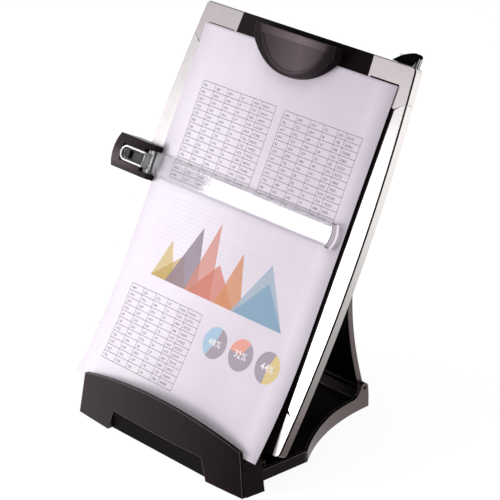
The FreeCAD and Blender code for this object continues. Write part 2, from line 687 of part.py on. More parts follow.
def make_clip():
    """Crowned wedge-shaped lever, hollow behind, with two ribs for the pin, and a rubber pad."""
    low, high, back, skin = clip_low, clip_high, size.clip_back, size.clip_skin
    slope = (size.clip_out_top - size.clip_out_low) / (high - low)
    crown_radius = (size.clip_half ** 2 + size.clip_crown ** 2) / (2 * size.clip_crown)

    def front(rise, depth):
        """Point of the lever's sloping crest, sunk by depth."""
        return (rise, size.clip_out_low + slope * (rise - low) - depth)

    def crowned(depth):
        """Round bar whose top is the lever's face, sunk by depth."""
        along = Vector(0, 1, slope).normalize()
        start = Vector(0, low, size.clip_out_low) - Vector(0, -along.z, along.y) * crown_radius
        return Part.makeCylinder(crown_radius - depth, 2 * FAR, start - along * FAR, along)

    wedge = side_prism([(low - 1, back), (clip_axis_rise, back), (high + 1, back + size.clip_top_relief),
                        front(high + 1, 0), front(low - 1, 0)], -FAR, FAR)
    hollow = clip_outline(skin).common(crowned(skin))
    recess = clip_recess_outline().cut(crowned(size.clip_recess))
    shape = clip_outline(0).common(wedge).common(crowned(0)).cut([hollow, recess])
    rib_x = size.clip_lug_inner + size.clip_lug_wall + size.running_gap
    pin_end = rib_x + size.clip_rib_wall
    rib_top = front(clip_axis_rise, size.clip_crown)[1] - size.running_gap
    radius = size.clip_lug_round
    for x in (rib_x, -pin_end):
        rib = box(x, x + size.clip_rib_wall, clip_axis_rise - radius, clip_axis_rise + radius,
                  size.clip_axis_out, rib_top)
        shape = shape.fuse([rib, rod(radius, x, x + size.clip_rib_wall, clip_axis_rise, size.clip_axis_out)])
    shape = shape.cut(rod(size.clip_pin_radius + size.bore_gap, -pin_end - 1, pin_end + 1,
                          clip_axis_rise, size.clip_axis_out))
    feature("clip_lever", shape, place_panel)

    grip = box(-size.pad_half, size.pad_half, low, low + skin + size.pad_height, jaw_front, FAR)
    feature("clip_pad", hollow.common(grip), place_panel)
    pin = rod(size.clip_pin_radius, -pin_end, pin_end, clip_axis_rise, size.clip_axis_out)
    feature("clip_pin", pin, place_panel)
    inner = size.clip_pin_radius + size.running_gap
    half, place = size.spring_half, (clip_axis_rise, size.clip_axis_out)
    coil = rod(inner + size.spring_wall, -half, half, *place).cut(rod(inner, -half - 1, half + 1, *place))
    feature("clip_spring", coil, place_panel)


# --- memo board ---------------------------------------------------------------------------

def make_memo_board():
    """White board in its slot, with the tab that carries the grip."""
    right = "panel_half - board_inset"
    top = "panel_low + panel_length"
    body = doc.addObject("PartDesign::Body", "memo_board_body")
    sketch = new_sketch(body, "memo_board_outline")
    sketch_rectangle(sketch, right + " - board_width", right, top + " - board_drop - board_height",
                     top + " - board_drop")
    pad(body, "memo_board_pad", sketch, "board_wall")
    tab = new_sketch(body, "memo_tab_outline")
    sketch_rectangle(tab, right + " - tab_inset - tab_width", right + " - tab_inset",
                     top + " - board_drop - rib_wall", top + " + grip_rise - rib_wall")
    pad(body, "memo_tab_pad", tab, "board_wall")
    slot_back = "vector(0; 0; -rail_depth - running_gap - board_wall)"
    text = ("placement(vector(0; panel_toe - rest_depth; 0); rotation(vector(1; 0; 0); 90 - panel_lean))"
            " * placement(" + slot_back + "; rotation(vector(1; 0; 0); 0))")
    node(body, "memo_board", lambda item: item.setExpression("Placement", cells(text)))


def make_memo_grip():
    """Black fin over the tab's upper edge, sloping up to the right."""
    low = panel_high + 2 * size.running_gap
    high = panel_high + size.grip_rise
    middle = (board_front + board_back) / 2
    back, front = middle - size.grip_depth / 2, middle + size.grip_depth / 2
    right = board_right - size.grip_inset
    left = right - size.grip_width
    slant = size.grip_slant
    shoulder = (right, high - slant / 2, back)
    crest = (right - slant, high, back)
    edges = [line((left, low, back), (right - slant, low, back)),
             line((right - slant, low, back), shoulder),
             arc(shoulder, (right - slant / 3, high - slant / 16, back), crest),
             arc(crest, ((left + right - slant) / 2, (low + 2 * high) / 3, back), (left, low, back))]
    shape = Part.Face(Part.Wire(edges)).extrude(Vector(0, 0, front - back))
    slot = box(tab_left, tab_right, low - 1, high - size.rib_wall, board_back, board_front)
    feature("memo_grip", shape.cut(slot), place_panel)


# --- slider and line guide ----------------------------------------------------------------

def slider_block(inset, back, front, right):
    """Plan of the slider with its bowed outer end."""
    half = size.slider_height / 2 - inset
    y = size.slider_rise
    left = -panel_edge - size.slider_reach + size.slider_bow + inset
    edges = [line((-right, y - half, back), (-right, y + half, back)),
             line((-right, y + half, back), (left, y + half, back)),
             arc((left, y + half, back), (left - size.slider_bow, y, back), (left, y - half, back)),
             line((left, y - half, back), (-right, y - half, back))]
    return Part.Face(Part.Wire(edges)).extrude(Vector(0, 0, front - back))


def crown():
    """Round bar that crowns the slider's front along the slope."""
    half = size.slider_height / 2
    radius = (half ** 2 + size.slider_crown ** 2) / (2 * size.slider_crown)
    return rod(radius, -FAR, FAR, size.slider_rise, size.slider_out - radius)


def along_slope(radius, x, length, out):
    """Round bar along the slope, centred on the slider."""
    start = Vector(x, size.slider_rise - length / 2, out)
    return Part.makeCylinder(radius, length, start, Y_AXIS)


def make_slider():
    """Two shells that clasp the rail, a brake pad, the hinge pin and the stop block."""
    y, skin, right = size.slider_rise, size.slider_skin, slider_right
    half = size.slider_height / 2
    edge_clear = panel_edge + size.slider_gap
    tongue_half = size.tongue_height / 2 + size.well_gap
    ceiling = size.well_floor - skin
    block = slider_block(0, size.slider_split, FAR, right).common(crown())
    cavity = slider_block(skin, size.slider_split - 1, ceiling, edge_clear + skin)
    mouth = box(-edge_clear, -right + 1, y - FAR, y + FAR, -FAR, 2 * size.fit_gap)
    well = box(-panel_edge - size.tongue_reach - size.well_gap, -right + 1, y - tongue_half,
               y + tongue_half, size.well_floor, FAR)
    block = block.cut([cavity, mouth, well])
    for low in (y - half, y + half - size.ear_height_guide):
        ear = box(-right - skin, -yoke_right, low, low + size.ear_height_guide, jaw_front, FAR)
        block = block.fuse(ear.common(crown()))
    pin_length = size.slider_height - 2 * skin
    bore = along_slope(size.guide_pin_radius + size.bore_gap, -guide_axis, pin_length, size.guide_axis_out)
    feature("slider_front_shell", block.cut(bore), place_panel)

    back_front = plate_back - size.running_gap
    back_back = back_front - size.slider_back_wall
    rear_right = yoke_right + 2 * skin
    rear = slider_block(0, back_back, size.slider_split, rear_right)
    room = box(-edge_clear, FAR, y - FAR, y + FAR, back_front, FAR)
    hollow = slider_block(skin, back_back + skin, size.slider_split + 1, edge_clear + skin)
    brake = box(-edge_clear + skin, -rear_right - skin, y - half + 2 * skin, y + half - 2 * skin,
                back_front - size.slider_back_wall / 2, plate_back - size.bore_gap)
    feature("slider_back_shell", rear.cut([room, hollow, brake]), place_panel)
    feature("slider_brake_pad", brake, place_panel)

    block_left = -panel_edge - size.block_reach
    rubber = box(block_left, block_left + size.block_width, y - size.block_height / 2,
                 y + size.block_height / 2, size.well_floor, size.well_floor + size.block_rise)
    feature("guide_stop_block", rubber, place_panel)
    pin = along_slope(size.guide_pin_radius, -guide_axis, pin_length, size.guide_axis_out)
    feature("guide_pin", pin, place_panel)


def make_line_guide():
    """One clear moulding: press tongue, barrel and ruled blade."""
    y, axis_x, axis_out = size.slider_rise, -guide_axis, size.guide_axis_out
    barrel_length = size.slider_height - 2 * (size.ear_height_guide + size.running_gap)
    barrel_half = barrel_length / 2
    barrel = along_slope(size.guide_barrel, axis_x, barrel_length, axis_out)
    half = size.guide_height / 2
    back, front = size.guide_back, size.guide_back + size.guide_wall
    left, end = -yoke_right + size.running_gap, guide_right - size.blade_bow
    band_left = end - size.grip_band

    def bowed_strip(start, bow, z0, z1):
        """Strip from start to the guide's bowed free end, its left side bulging by bow."""
        edges = [arc((start, y - half, z0), (start + bow, y, z0), (start, y + half, z0)),
                 line((start, y + half, z0), (end, y + half, z0)),
                 arc((end, y + half, z0), (guide_right, y, z0), (end, y - half, z0)),
                 line((end, y - half, z0), (start, y - half, z0))]
        return Part.Face(Part.Wire(edges)).extrude(Vector(0, 0, z1 - z0))

    def ridge(outer, inner):
        """Ridge along one edge of the blade, highest at its inner side."""
        profile = [(outer, back), (outer, front - size.ridge_bevel), (inner, front + size.ridge_height),
                   (inner, back)]
        return side_prism(profile, left, band_left + size.grip_bow)

    low_inner, high_inner = y - half + size.ridge_narrow, y + half - size.ridge_wide
    blade = box(left, band_left + size.grip_bow, low_inner, high_inner, back, front)
    blade = blade.fuse([ridge(y - half, low_inner), ridge(y + half, high_inner)])
    blade = blade.fuse(bowed_strip(band_left, size.grip_bow, back, front + 2 * size.ridge_height))
    root = box(axis_x, left + size.guide_wall, y - barrel_half, y + barrel_half, back, front)

    tongue_half = size.tongue_height / 2
    round_x = -panel_edge - size.tongue_reach + tongue_half
    back, front = size.tongue_back, size.tongue_back + size.tongue_wall
    plank = box(round_x, axis_x, y - tongue_half, y + tongue_half, back, front)
    plank = plank.fuse(upright(tongue_half, round_x, y, back, front))
    dish_half = tongue_half - size.tongue_rim
    dish_back = front - size.tongue_dish
    dish = box(round_x, axis_x - 2 * size.guide_barrel, y - dish_half, y + dish_half, dish_back, FAR)
    dish = dish.fuse(upright(dish_half, round_x, y, dish_back, FAR))
    neck_half = size.guide_barrel - size.running_gap
    neck = box(axis_x - neck_half, axis_x + neck_half, y - tongue_half, y + tongue_half, axis_out, front)
    shape = barrel.fuse([blade, root, plank.cut(dish), neck])
    bore = along_slope(size.guide_pin_radius + size.bore_gap, axis_x, 2 * barrel_length, axis_out)
    feature("line_guide", shape.cut(bore), place_panel)


# --- base ---------------------------------------------------------------------------------

def platform_outline(inset, height):
    """Straight arms, concave flanks and a straight rear edge."""
    half, end = size.arm_half - inset, size.arm_end
    rear, waist = size.rear_half - inset, size.waist_half - inset
    back = rear_depth - inset
    front = size.bar_rear
    z = size.foot_gap
    edges = [line((-half, front, z), (half, front, z)), line((half, front, z), (half, end, z)),
             arc((half, end, z), (waist, size.waist_depth, z), (rear, back, z)),
             line((rear, back, z), (-rear, back, z)),
             arc((-rear, back, z), (-waist, size.waist_depth, z), (-half, end, z)),
             line((-half, end, z), (-half, front, z))]
    return Part.Face(Part.Wire(edges)).extrude(Vector(0, 0, height))


def rim_profile():
    """Side view that trims the rim: low along the arms, rising to the ears."""
    ear, radius = size.ear_depth, size.ear_radius
    points = [(0, size.foot_gap), (0, size.arm_height), (size.arm_end, size.arm_height),
              (size.waist_depth, size.rim_height), (ear - 3 * radius, size.rim_height - size.ear_sweep),
              (ear - 2 * radius, size.rim_height + size.ear_sweep), (ear - radius, size.ear_height),
              (ear + radius, size.ear_height), (rear_depth, size.arm_height),
              (rear_depth, size.foot_gap)]
    profile = side_prism(points, -FAR, FAR)
    return profile.fuse(rod(radius, -FAR, FAR, ear, size.ear_height))


def make_platform():
    """Floor with a raised rim, two ears for the leg's rod and four cheeks for the hinge pins."""
    floor_top = size.foot_gap + size.floor_wall
    floor = platform_outline(0, size.floor_wall)
    sole_half = size.bay_half + size.rim_wall
    tongue = box(-sole_half, sole_half, size.pull_back + 2 * size.fit_gap, size.bar_rear + size.rim_wall,
                 size.foot_gap, floor_top)
    tall = size.ear_height + 2 * size.ear_radius
    rim = platform_outline(0, tall).cut(platform_outline(size.rim_wall, FAR))
    ear_inner = size.rear_half - size.ear_wall
    ear = box(ear_inner, size.rear_half, size.ear_depth - size.ear_radius, rear_depth, size.foot_gap, tall)
    rim = rim.fuse([ear, mirrored(ear)]).common(rim_profile())
    rear_wall_top = size.ear_height - size.leg_barrel - size.rear_wall_gap
    leg_gap = box(-ear_inner, ear_inner, size.ear_depth - 3 * size.ear_radius, FAR, rear_wall_top, FAR)
    bay_half = size.arm_half - size.rim_wall
    front_gap = box(-bay_half, bay_half, 0, size.bar_rear + 2 * size.rim_wall, floor_top, FAR)
    shape = floor.fuse([tongue, rim]).cut([leg_gap, front_gap])
    round_off = size.cheek_round
    cheeks = []
    for x in (lug_inner - size.running_gap - size.cheek_wall, lug_inner + size.lug_width + size.running_gap):
        cheek = box(x, x + size.cheek_wall, size.hinge_depth - round_off, size.hinge_depth + 2 * round_off,
                    floor_top - size.floor_wall / 2, size.hinge_height)
        web = rod(round_off, x, x + size.cheek_wall, size.hinge_depth, size.hinge_height)
        cheeks += [cheek, web, mirrored(cheek), mirrored(web)]
    shape = shape.fuse(cheeks)
    bores = [rod(size.hinge_pin_radius, -FAR, FAR, size.hinge_depth, size.hinge_height),
             rod(size.leg_rod_radius, -FAR, FAR, size.ear_depth, size.ear_height)]
    pockets = [upright(size.foot_radius, x, y, 0, size.foot_gap + size.foot_sunk)
               for x, y in foot_places() if y > size.bar_rear]
    holes = []
    for x, y in base_screw_places():
        holes.append(upright(size.screw_radius + size.bore_gap, x, y, 0, FAR))
        holes.append(upright(size.head_radius, x, y, 0, size.foot_gap + size.head_height))
    feature("base_platform", shape.cut(bores + pockets + holes), place_base)


def foot_places():
    """Two feet under the bar, two by the ears and one in the middle."""
    inset = size.foot_radius + 2 * size.rim_wall
    side = size.arm_half - size.foot_radius
    front = (size.pull_back + size.bar_rear) / 2
    rear_side, rear = size.rear_half - inset, rear_depth - inset
    return [(-side, front), (side, front), (-rear_side, rear), (rear_side, rear), (0, size.rest_depth)]


def base_screw_places():
    x = size.bay_half + size.bay_wall + size.bay_flange / 2
    near = size.hinge_depth + 2 * size.lug_radius
    far = size.bay_end - size.lug_radius
    return [(-x, near), (x, near), (-x, far), (x, far)]


def make_feet():
    shapes = [upright(size.foot_radius, x, y, 0, size.foot_gap + size.foot_sunk) for x, y in foot_places()]
    feature("rubber_feet", Part.makeCompound(shapes), place_base)


def make_base_screws():
    """Screws from below, through the floor into the bay cover's flanges."""
    top = size.foot_gap + size.floor_wall + size.bay_wall
    shapes = []
    for x, y in base_screw_places():
        head_top = size.foot_gap + size.head_height
        head = upright(size.head_radius - size.fit_gap, x, y, size.foot_gap, head_top)
        shapes.append(head.fuse(upright(size.screw_radius, x, y, size.foot_gap, top)))
    feature("base_screws", Part.makeCompound(shapes), place_base)


def leaning(shape):
    """Lean a shape back about the fascia's foot line."""
    foot = Vector(0, size.fascia_front, size.foot_gap)
    return shape.rotate(foot, X_AXIS, -size.fascia_lean)


def bow_cylinder(inset):
    """Upright drum whose front is the fascia's bowed face."""
    radius = size.fascia_radius - inset
    centre = Vector(0, size.fascia_front + size.fascia_radius, -FAR / 4)
    return leaning(Part.makeCylinder(radius, FAR, centre, Z_AXIS))


def pull_outline(gap, depth):
    """Trapezoid of the drawer opening from the datum line to a depth, drawn in by gap."""
    low, high = size.foot_gap + gap / 2, size.pull_height - gap
    if gap == 0:
        low -= size.foot_gap
    half_low, half_top = size.pull_low_half - gap, size.pull_top_half - gap
    face = polygon([(-half_low, 0, low), (half_low, 0, low), (half_top, 0, high), (-half_top, 0, high)])
    return face.extrude(Vector(0, depth, 0))


def make_fascia():
    """Bowed plate with an arched top, cut out for the drawer's face."""
    low, top = size.fascia_low_half, size.fascia_top_half
    z0, z1 = size.foot_gap, size.fascia_corner
    edges = [line((-low, 0, z0), (low, 0, z0)), line((low, 0, z0), (top, 0, z1)),
             arc((top, 0, z1), (0, 0, size.fascia_middle), (-top, 0, z1)),
             line((-top, 0, z1), (-low, 0, z0))]
    silhouette = Part.Face(Part.Wire(edges)).extrude(Vector(0, FAR, 0))
    plate = bow_cylinder(0).common(silhouette).cut(bow_cylinder(size.fascia_wall))
    feature("front_fascia", plate.cut(pull_outline(0, size.bar_rear)), place_base)


def make_front_bar():
    """Hollow bar behind the fascia: drawer mouth, document channel and rear pockets."""
    z0, z1 = size.foot_gap, size.bar_top
    narrowing = size.bar_draft * (z1 - z0)

    def level(z, less):
        """Outline of the bar at one height."""
        front, rear = bar_front_half - less, bar_half - less
        corners = [Vector(-front, 0, z), Vector(front, 0, z), Vector(rear, size.bar_rear, z),
                   Vector(-rear, size.bar_rear, z)]
        return Part.makePolygon(corners + corners[:1])

    block = Part.makeLoft([level(z0, 0), level(z1, narrowing)], True, True)
    shape = block.common(bow_cylinder(size.fascia_wall))
    channel = box(-FAR, FAR, 0, size.tray_rear, size.tray_floor, FAR)
    bay = box(-size.bay_half, size.bay_half, 0, FAR, 0, size.bay_roof)
    sole_half = size.bay_half + size.rim_wall + size.fit_gap
    sole = box(-sole_half, sole_half, size.pull_back + size.fit_gap, FAR, 0, size.foot_gap + size.floor_wall)
    wall = size.bar_wall
    inner, outer = size.pull_low_half + wall, bar_front_half - narrowing - wall
    pocket = box(inner, outer, size.pull_back + wall, FAR, size.foot_gap + wall, size.tray_floor - wall)
    roof_half = size.pull_top_half - wall
    roof = box(-roof_half, roof_half, size.pull_back + wall, FAR, size.bay_roof + size.bay_wall,
               size.tray_floor - wall)
    feet = [upright(size.foot_radius, x, y, 0, size.foot_gap + size.foot_sunk)
            for x, y in foot_places() if y < size.bar_rear]
    mouth = pull_outline(0, size.pull_back + size.fit_gap)
    shape = shape.cut([channel, bay, sole, mouth, pocket, mirrored(pocket), roof] + feet)
    feature("front_bar", shape, place_base)


def make_bay_cover():
    """Upside-down channel that the drawer runs in, with screwed flanges."""
    floor = "foot_gap + floor_wall"
    outer = primitive_box("bay_cover_outer", ("-bay_half - bay_wall", "bay_half + bay_wall"),
                          ("bar_rear + fit_gap", "bay_end"), (floor, "bay_roof + bay_wall"))
    flange = primitive_box("bay_cover_flange",
                           ("-bay_half - bay_wall - bay_flange", "bay_half + bay_wall + bay_flange"),
                           ("hinge_depth + lug_radius + running_gap", "bay_end"),
                           (floor, floor + " + bay_wall"))
    inner = primitive_box("bay_cover_inner", ("-bay_half", "bay_half"),
                          ("bar_rear - bay_wall", "bay_end - bay_wall"),
                          (floor + " - bay_wall", "bay_roof"))
    shell = primitive_cut("bay_cover_shell", primitive_fuse("bay_cover_solid", [outer, flange]), inner)
    tools = []
    for count, (x, y) in enumerate(base_screw_places()):
        hole = doc.addObject("Part::Cylinder", f"bay_cover_hole_{count}")
        hole.setExpression("Radius", cells("screw_radius + bore_gap"))
        hole.setExpression("Height", cells("bay_roof"))
        hole.setExpression("Placement.Base.x", cells(
            ("-" if x < 0 else "") + "(bay_half + bay_wall + bay_flange / 2)"))
        depth = "hinge_depth + 2 * lug_radius" if count < 2 else "bay_end - lug_radius"
        hole.setExpression("Placement.Base.y", cells(depth))
        tools.append(hole)
    cover = primitive_cut("bay_cover_drilled", shell, primitive_fuse("bay_cover_holes", tools))
    node(cover, "drawer_bay_cover", place_base)


def make_runners():
    """Two strips under the drawer that it slides on."""
    floor = "foot_gap + floor_wall"
    rear = "bay_end - bay_wall - drawer_rear_room"
    sides = {"right": ("bay_half / 2", "bay_half / 2 + rim_wall"),
             "left": ("-bay_half / 2 - rim_wall", "-bay_half / 2")}
    strips = [primitive_box(f"runner_{name}", ends, ("pull_back + rib_wall", rear),
                            (floor, floor + " + runner_height")) for name, ends in sides.items()]
    pair = doc.addObject("Part::Compound", "runner_pair")
    pair.Links = strips
    node(pair, "drawer_runners", place_base)


def make_drawer():
    """Open tray, drawn as a pad with a pocket, and its slanted face."""
    body = doc.addObject("PartDesign::Body", "drawer_body")
    half = "bay_half - drawer_side_gap"
    rear = "bay_end - bay_wall - drawer_rear_room"
    floor = "foot_gap + floor_wall + runner_height + bore_gap"
    depth = "bay_roof - drawer_head_room - (" + floor + ")"
    plan = new_sketch(body, "drawer_plan")
    sketch_rectangle(plan, "-(" + half + ")", half, "pull_back", rear)
    pad(body, "drawer_block", plan, depth)
    inside = new_sketch(body, "drawer_inside")
    sketch_rectangle(inside, "-(" + half + ") + drawer_wall", half + " - drawer_wall",
                     "pull_back + drawer_wall", rear + " - drawer_wall")
    inside.setExpression("AttachmentOffset.Base.z", cells(depth))
    pocket = body.newObject("PartDesign::Pocket", "drawer_hollow")
    pocket.Profile = inside
    pocket.setExpression("Length", cells(depth + " - drawer_wall"))
    body.Tip = pocket
    text = "placement(vector(0; -rest_depth; " + floor + "); rotation(vector(1; 0; 0); 0))"
    node(body, "drawer_tray", lambda item: item.setExpression("Placement", cells(text)))

    face = pull_outline(size.pull_gap, size.pull_back)
    low, high = size.foot_gap + size.pull_gap / 2, size.pull_height - size.pull_gap
    slant = side_prism([(size.pull_foot, low), (size.pull_head, high), (size.pull_back, high),
                        (size.pull_back, low)], -FAR, FAR)
    feature("drawer_front", face.common(slant), place_base)
    return body, pocket


def make_hinge_pins():
    """Steel pins through the cheeks and the panel's lugs."""
    reach = size.cheek_wall + size.running_gap
    pin = rod(size.hinge_pin_radius, lug_inner - reach, lug_inner + size.lug_width + reach,
              size.hinge_depth, size.hinge_height)
    feature("panel_hinge_pins", both(pin), place_base)


# --- leg ----------------------------------------------------------------------------------

def make_leg():
    """Plate with concave sides, a barrel at each end and a hollowed rear face."""
    half = size.leg_wall / 2
    start, end, rise = size.leg_side_start, size.leg_side_end, size.leg_waist_rise

    def outline(inset, z0, z1):
        """Outline of the plate, drawn in by inset, from z0 to z1."""
        foot, top = leg_foot_half - inset, leg_top_half - inset
        waist = leg_foot_half + size.leg_flare_waist - inset
        low, high = inset, leg_length - inset
        right = [(foot, low, z0), (foot, start, z0), (waist, rise, z0), (top, end, z0), (top, high, z0)]
        left = [(-x, y, z) for x, y, z in right]
        edges = [line(left[0], right[0])]
        for side in (right, left):
            edges += [arc(*side[1:4]), line(side[3], side[4])]
            if start - low > EPS:
                edges.append(line(side[0], side[1]))
        edges.append(line(right[4], left[4]))
        ordered = Part.Wire(Part.__sortEdges__(edges))
        return Part.Face(ordered).extrude(Vector(0, 0, z1 - z0))

    plate = outline(0, -half, half)
    plate = plate.cut(outline(start, -half - 1, -half + size.leg_panel_recess))
    plate = plate.fuse([rod(size.leg_barrel, -leg_foot_half, leg_foot_half, 0, 0),
                        rod(size.top_barrel, -leg_top_half, leg_top_half, leg_length, 0)])
    bores = [rod(size.leg_rod_radius + size.bore_gap, -FAR, FAR, 0, 0),
             rod(size.top_rod_radius, -FAR, FAR, leg_length, 0)]
    feature("rear_leg", plate.cut(bores), place_leg)
    rod_half = rack_inner + size.rack_wall + size.top_rod_reach
    feature("leg_top_rod", rod(size.top_rod_radius, -rod_half, rod_half, leg_length, 0), place_leg)


def make_leg_pivot():
    """Steel rod through both ears, drawn as a turned body."""
    body = doc.addObject("PartDesign::Body", "leg_pivot_body")
    sketch = new_sketch(body, "leg_pivot_section", "YZ_Plane")
    sketch_circle(sketch, "leg_rod_radius")
    pad(body, "leg_pivot_pad", sketch, "2 * rear_half", both_ways=True)
    text = "placement(vector(0; ear_depth - rest_depth; ear_height); rotation(vector(1; 0; 0); 0))"
    node(body, "leg_pivot_rod", lambda item: item.setExpression("Placement", cells(text)))


make_platform()
make_front_bar()
make_fascia()
make_bay_cover()
make_runners()
make_feet()
make_base_screws()
make_hinge_pins()
make_leg_pivot()
drawer_body, drawer_hollow = make_drawer()
make_centre_sheet()
make_frame()
make_middle_plate()
make_clip_housing()
make_back_cover()
make_cover_screws()
make_racks()
make_document()
make_clip()
make_memo_board()
make_memo_grip()
make_slider()
make_line_guide()
make_leg()
doc.recompute()

# --- checks and export --------------------------------------------------------------------

faults = []
for item in doc.Objects:
    if {"Invalid", "Error"} & set(item.State):
        faults.append(f"{item.Name}: {item.State}")
for item in nodes:
    if item.Shape.isNull() or not item.Shape.isValid() or not item.Shape.Solids:
        faults.append(f"{item.Label}: no valid solid")
if drawer_hollow.Shape.Volume > 0.6 * drawer_body.Shape.BoundBox.XLength * \
        drawer_body.Shape.BoundBox.YLength * drawer_body.Shape.BoundBox.ZLength:
    faults.append("drawer_tray: its pocket cut nothing")
if faults:
    sys.exit("\n".join(faults))

os.makedirs("parts", exist_ok=True)
for item in nodes:
    item.Shape.exportStep(f"parts/{item.Label}.step")
    print(f"{item.Label}: {len(item.Shape.Solids)} solid(s), {item.Shape.Volume / 1000:.2f} cm3")
print(f"leg length {leg_length:.2f}, leg turn {leg_turn:.2f}, rod at {rod_depth:.2f}, {rod_height:.2f}")
print(f"hinge in panel axes {hinge_rise:.2f}, {hinge_out:.2f}")
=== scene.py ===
# %% [markdown]
# # A document holder, dressed for its portrait
#
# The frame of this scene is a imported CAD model: every piece already has its true size and place, in
# metres, with +Z up. This lesson gives each piece the finish of the real one, and adds what CAD leaves
# plain: the printed sheets, the coil spring, screw heads with a cross in them and domed rubber feet.

# %% Load the frame
import bpy
import numpy as np
import json
import math
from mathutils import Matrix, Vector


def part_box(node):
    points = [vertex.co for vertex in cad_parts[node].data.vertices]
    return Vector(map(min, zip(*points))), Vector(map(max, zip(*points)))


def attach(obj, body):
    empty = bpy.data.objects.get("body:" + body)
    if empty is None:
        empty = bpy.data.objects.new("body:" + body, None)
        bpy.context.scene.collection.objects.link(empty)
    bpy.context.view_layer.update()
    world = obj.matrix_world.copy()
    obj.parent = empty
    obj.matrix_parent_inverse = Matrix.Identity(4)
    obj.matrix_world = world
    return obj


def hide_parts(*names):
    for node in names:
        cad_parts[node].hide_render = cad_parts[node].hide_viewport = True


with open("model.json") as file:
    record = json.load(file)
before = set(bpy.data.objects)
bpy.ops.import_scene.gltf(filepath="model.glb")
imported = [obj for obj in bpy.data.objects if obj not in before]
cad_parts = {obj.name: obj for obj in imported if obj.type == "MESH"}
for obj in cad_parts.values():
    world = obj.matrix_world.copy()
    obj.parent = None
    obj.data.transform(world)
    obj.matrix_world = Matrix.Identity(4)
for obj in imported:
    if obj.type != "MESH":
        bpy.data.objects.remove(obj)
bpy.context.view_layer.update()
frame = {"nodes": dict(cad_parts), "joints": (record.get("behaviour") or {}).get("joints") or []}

MM = 0.001
nodes = frame["nodes"]
joints = {joint["name"]: joint for joint in frame["joints"]}
print("pieces in the frame:", len(nodes), "joints:", len(joints))

# %% [markdown]
# ## The camera
#
# A product photographer stands well back with a long lens, so that edges which are parallel on the
# object stay nearly parallel in the picture. The camera looks at the holder from its right, a little
# from above.

# %% Place the camera
camera_data = bpy.data.cameras.new("portrait_camera")
camera_data.lens = 169.1
camera_data.sensor_width = 36.0
camera_data.clip_end = 50.0
camera = bpy.data.objects.new("portrait_camera", camera_data)
camera.location = (1.2394, -1.1091, 0.8469)
camera.rotation_euler = (math.radians(90.0 - 22.86), 0.0, math.radians(48.01))
bpy.context.scene.collection.objects.link(camera)
bpy.context.scene.camera = camera
print("camera distance from the origin:", round(camera.location.length, 3), "m")

# %% [markdown]
# ## A small kit for materials
#
# Every finish below is a Principled shader with a few nodes round it. Patterns read Object coordinates,
# because each piece keeps its place in its mesh, so a grain has the same size on all of them. The Bevel
# node turns the normals close to a sharp edge, which gives moulded plastic the thin soft highlight that
# a real edge has.

# %% Helpers for node materials
def new_material(name):
    """An empty node material with its Principled shader."""
    material = bpy.data.materials.new(name)
    material.use_nodes = True
    shader = material.node_tree.nodes["Principled BSDF"]
    return material, material.node_tree, shader


def add_node(tree, kind, **settings):
    """A node with its properties and unlinked inputs set by name."""
    node = tree.nodes.new(kind)
    for key, value in settings.items():
        if hasattr(node, key):
            setattr(node, key, value)
        else:
            node.inputs[key.replace("_", " ").title()].default_value = value
    return node


def noise(tree, scale, detail=4.0):
    """Noise on Object coordinates; scale counts its cells per metre."""
    place = add_node(tree, "ShaderNodeTexCoord")
    pattern = add_node(tree, "ShaderNodeTexNoise", scale=scale, detail=detail)
    tree.links.new(place.outputs["Object"], pattern.inputs["Vector"])
    return pattern


def feed(tree, source, socket):
    """Link another node's output to a socket, or give the socket a value of its own."""
    if isinstance(source, bpy.types.NodeSocket):
        tree.links.new(source, socket)
    else:
        socket.default_value = source


def calculate(tree, operation, *sources):
    """Result of a Math node; each source is a number or an output."""
    node = add_node(tree, "ShaderNodeMath", operation=operation)
    for source, socket in zip(sources, node.inputs):
        feed(tree, source, socket)
    return node.outputs[0]


def dot_product(tree, vector, direction):
    """How far a vector points along a direction, which is a triple or an output."""
    node = add_node(tree, "ShaderNodeVectorMath", operation="DOT_PRODUCT")
    feed(tree, vector, node.inputs[0])
    feed(tree, direction, node.inputs[1])
    return node.outputs["Value"]


def map_range(tree, value, source, target):
    """Carry a value from one range (start, end) to another, and hold it at the ends."""
    node = add_node(tree, "ShaderNodeMapRange")
    for socket, number in zip(("From Min", "From Max", "To Min", "To Max"), (*source, *target)):
        node.inputs[socket].default_value = number
    tree.links.new(value, node.inputs["Value"])
    return node.outputs["Result"]


def mix_colors(tree, share, first, second, blend="MIX"):
    """Two colours mixed or multiplied; each argument is a value or an output."""
    node = add_node(tree, "ShaderNodeMixRGB", blend_type=blend)
    for socket, source in (("Fac", share), ("Color1", first), ("Color2", second)):
        feed(tree, source, node.inputs[socket])
    return node.outputs["Color"]


def band_ramp(tree, value, stops):
    """Colour ramp with a list of (position, grey or colour) stops."""
    ramp = add_node(tree, "ShaderNodeValToRGB")
    elements = ramp.color_ramp.elements
    while len(elements) < len(stops):
        elements.new(0.5)
    for element, (position, color) in zip(elements, stops):
        element.position = position
        element.color = (*np.broadcast_to(color, 3), 1.0)
    tree.links.new(value, ramp.inputs["Fac"])
    return ramp.outputs["Color"]


def vary(tree, pattern, low, high, socket):
    """Stretch a noise between two values and feed it to a shader's socket."""
    tree.links.new(map_range(tree, pattern.outputs["Fac"], (0.3, 0.7), (low, high)), socket)


def tint(tree, pattern, dark, light, socket):
    """Colour that wanders between two tones with a noise."""
    tree.links.new(band_ramp(tree, pattern.outputs["Fac"], [(0.3, dark), (0.7, light)]), socket)


def shade_base(material, shade):
    """Multiply a material's base colour by a shade."""
    tree = material.node_tree
    base = tree.nodes["Principled BSDF"].inputs["Base Color"]
    tree.links.new(mix_colors(tree, 1.0, base.links[0].from_socket, shade, "MULTIPLY"), base)


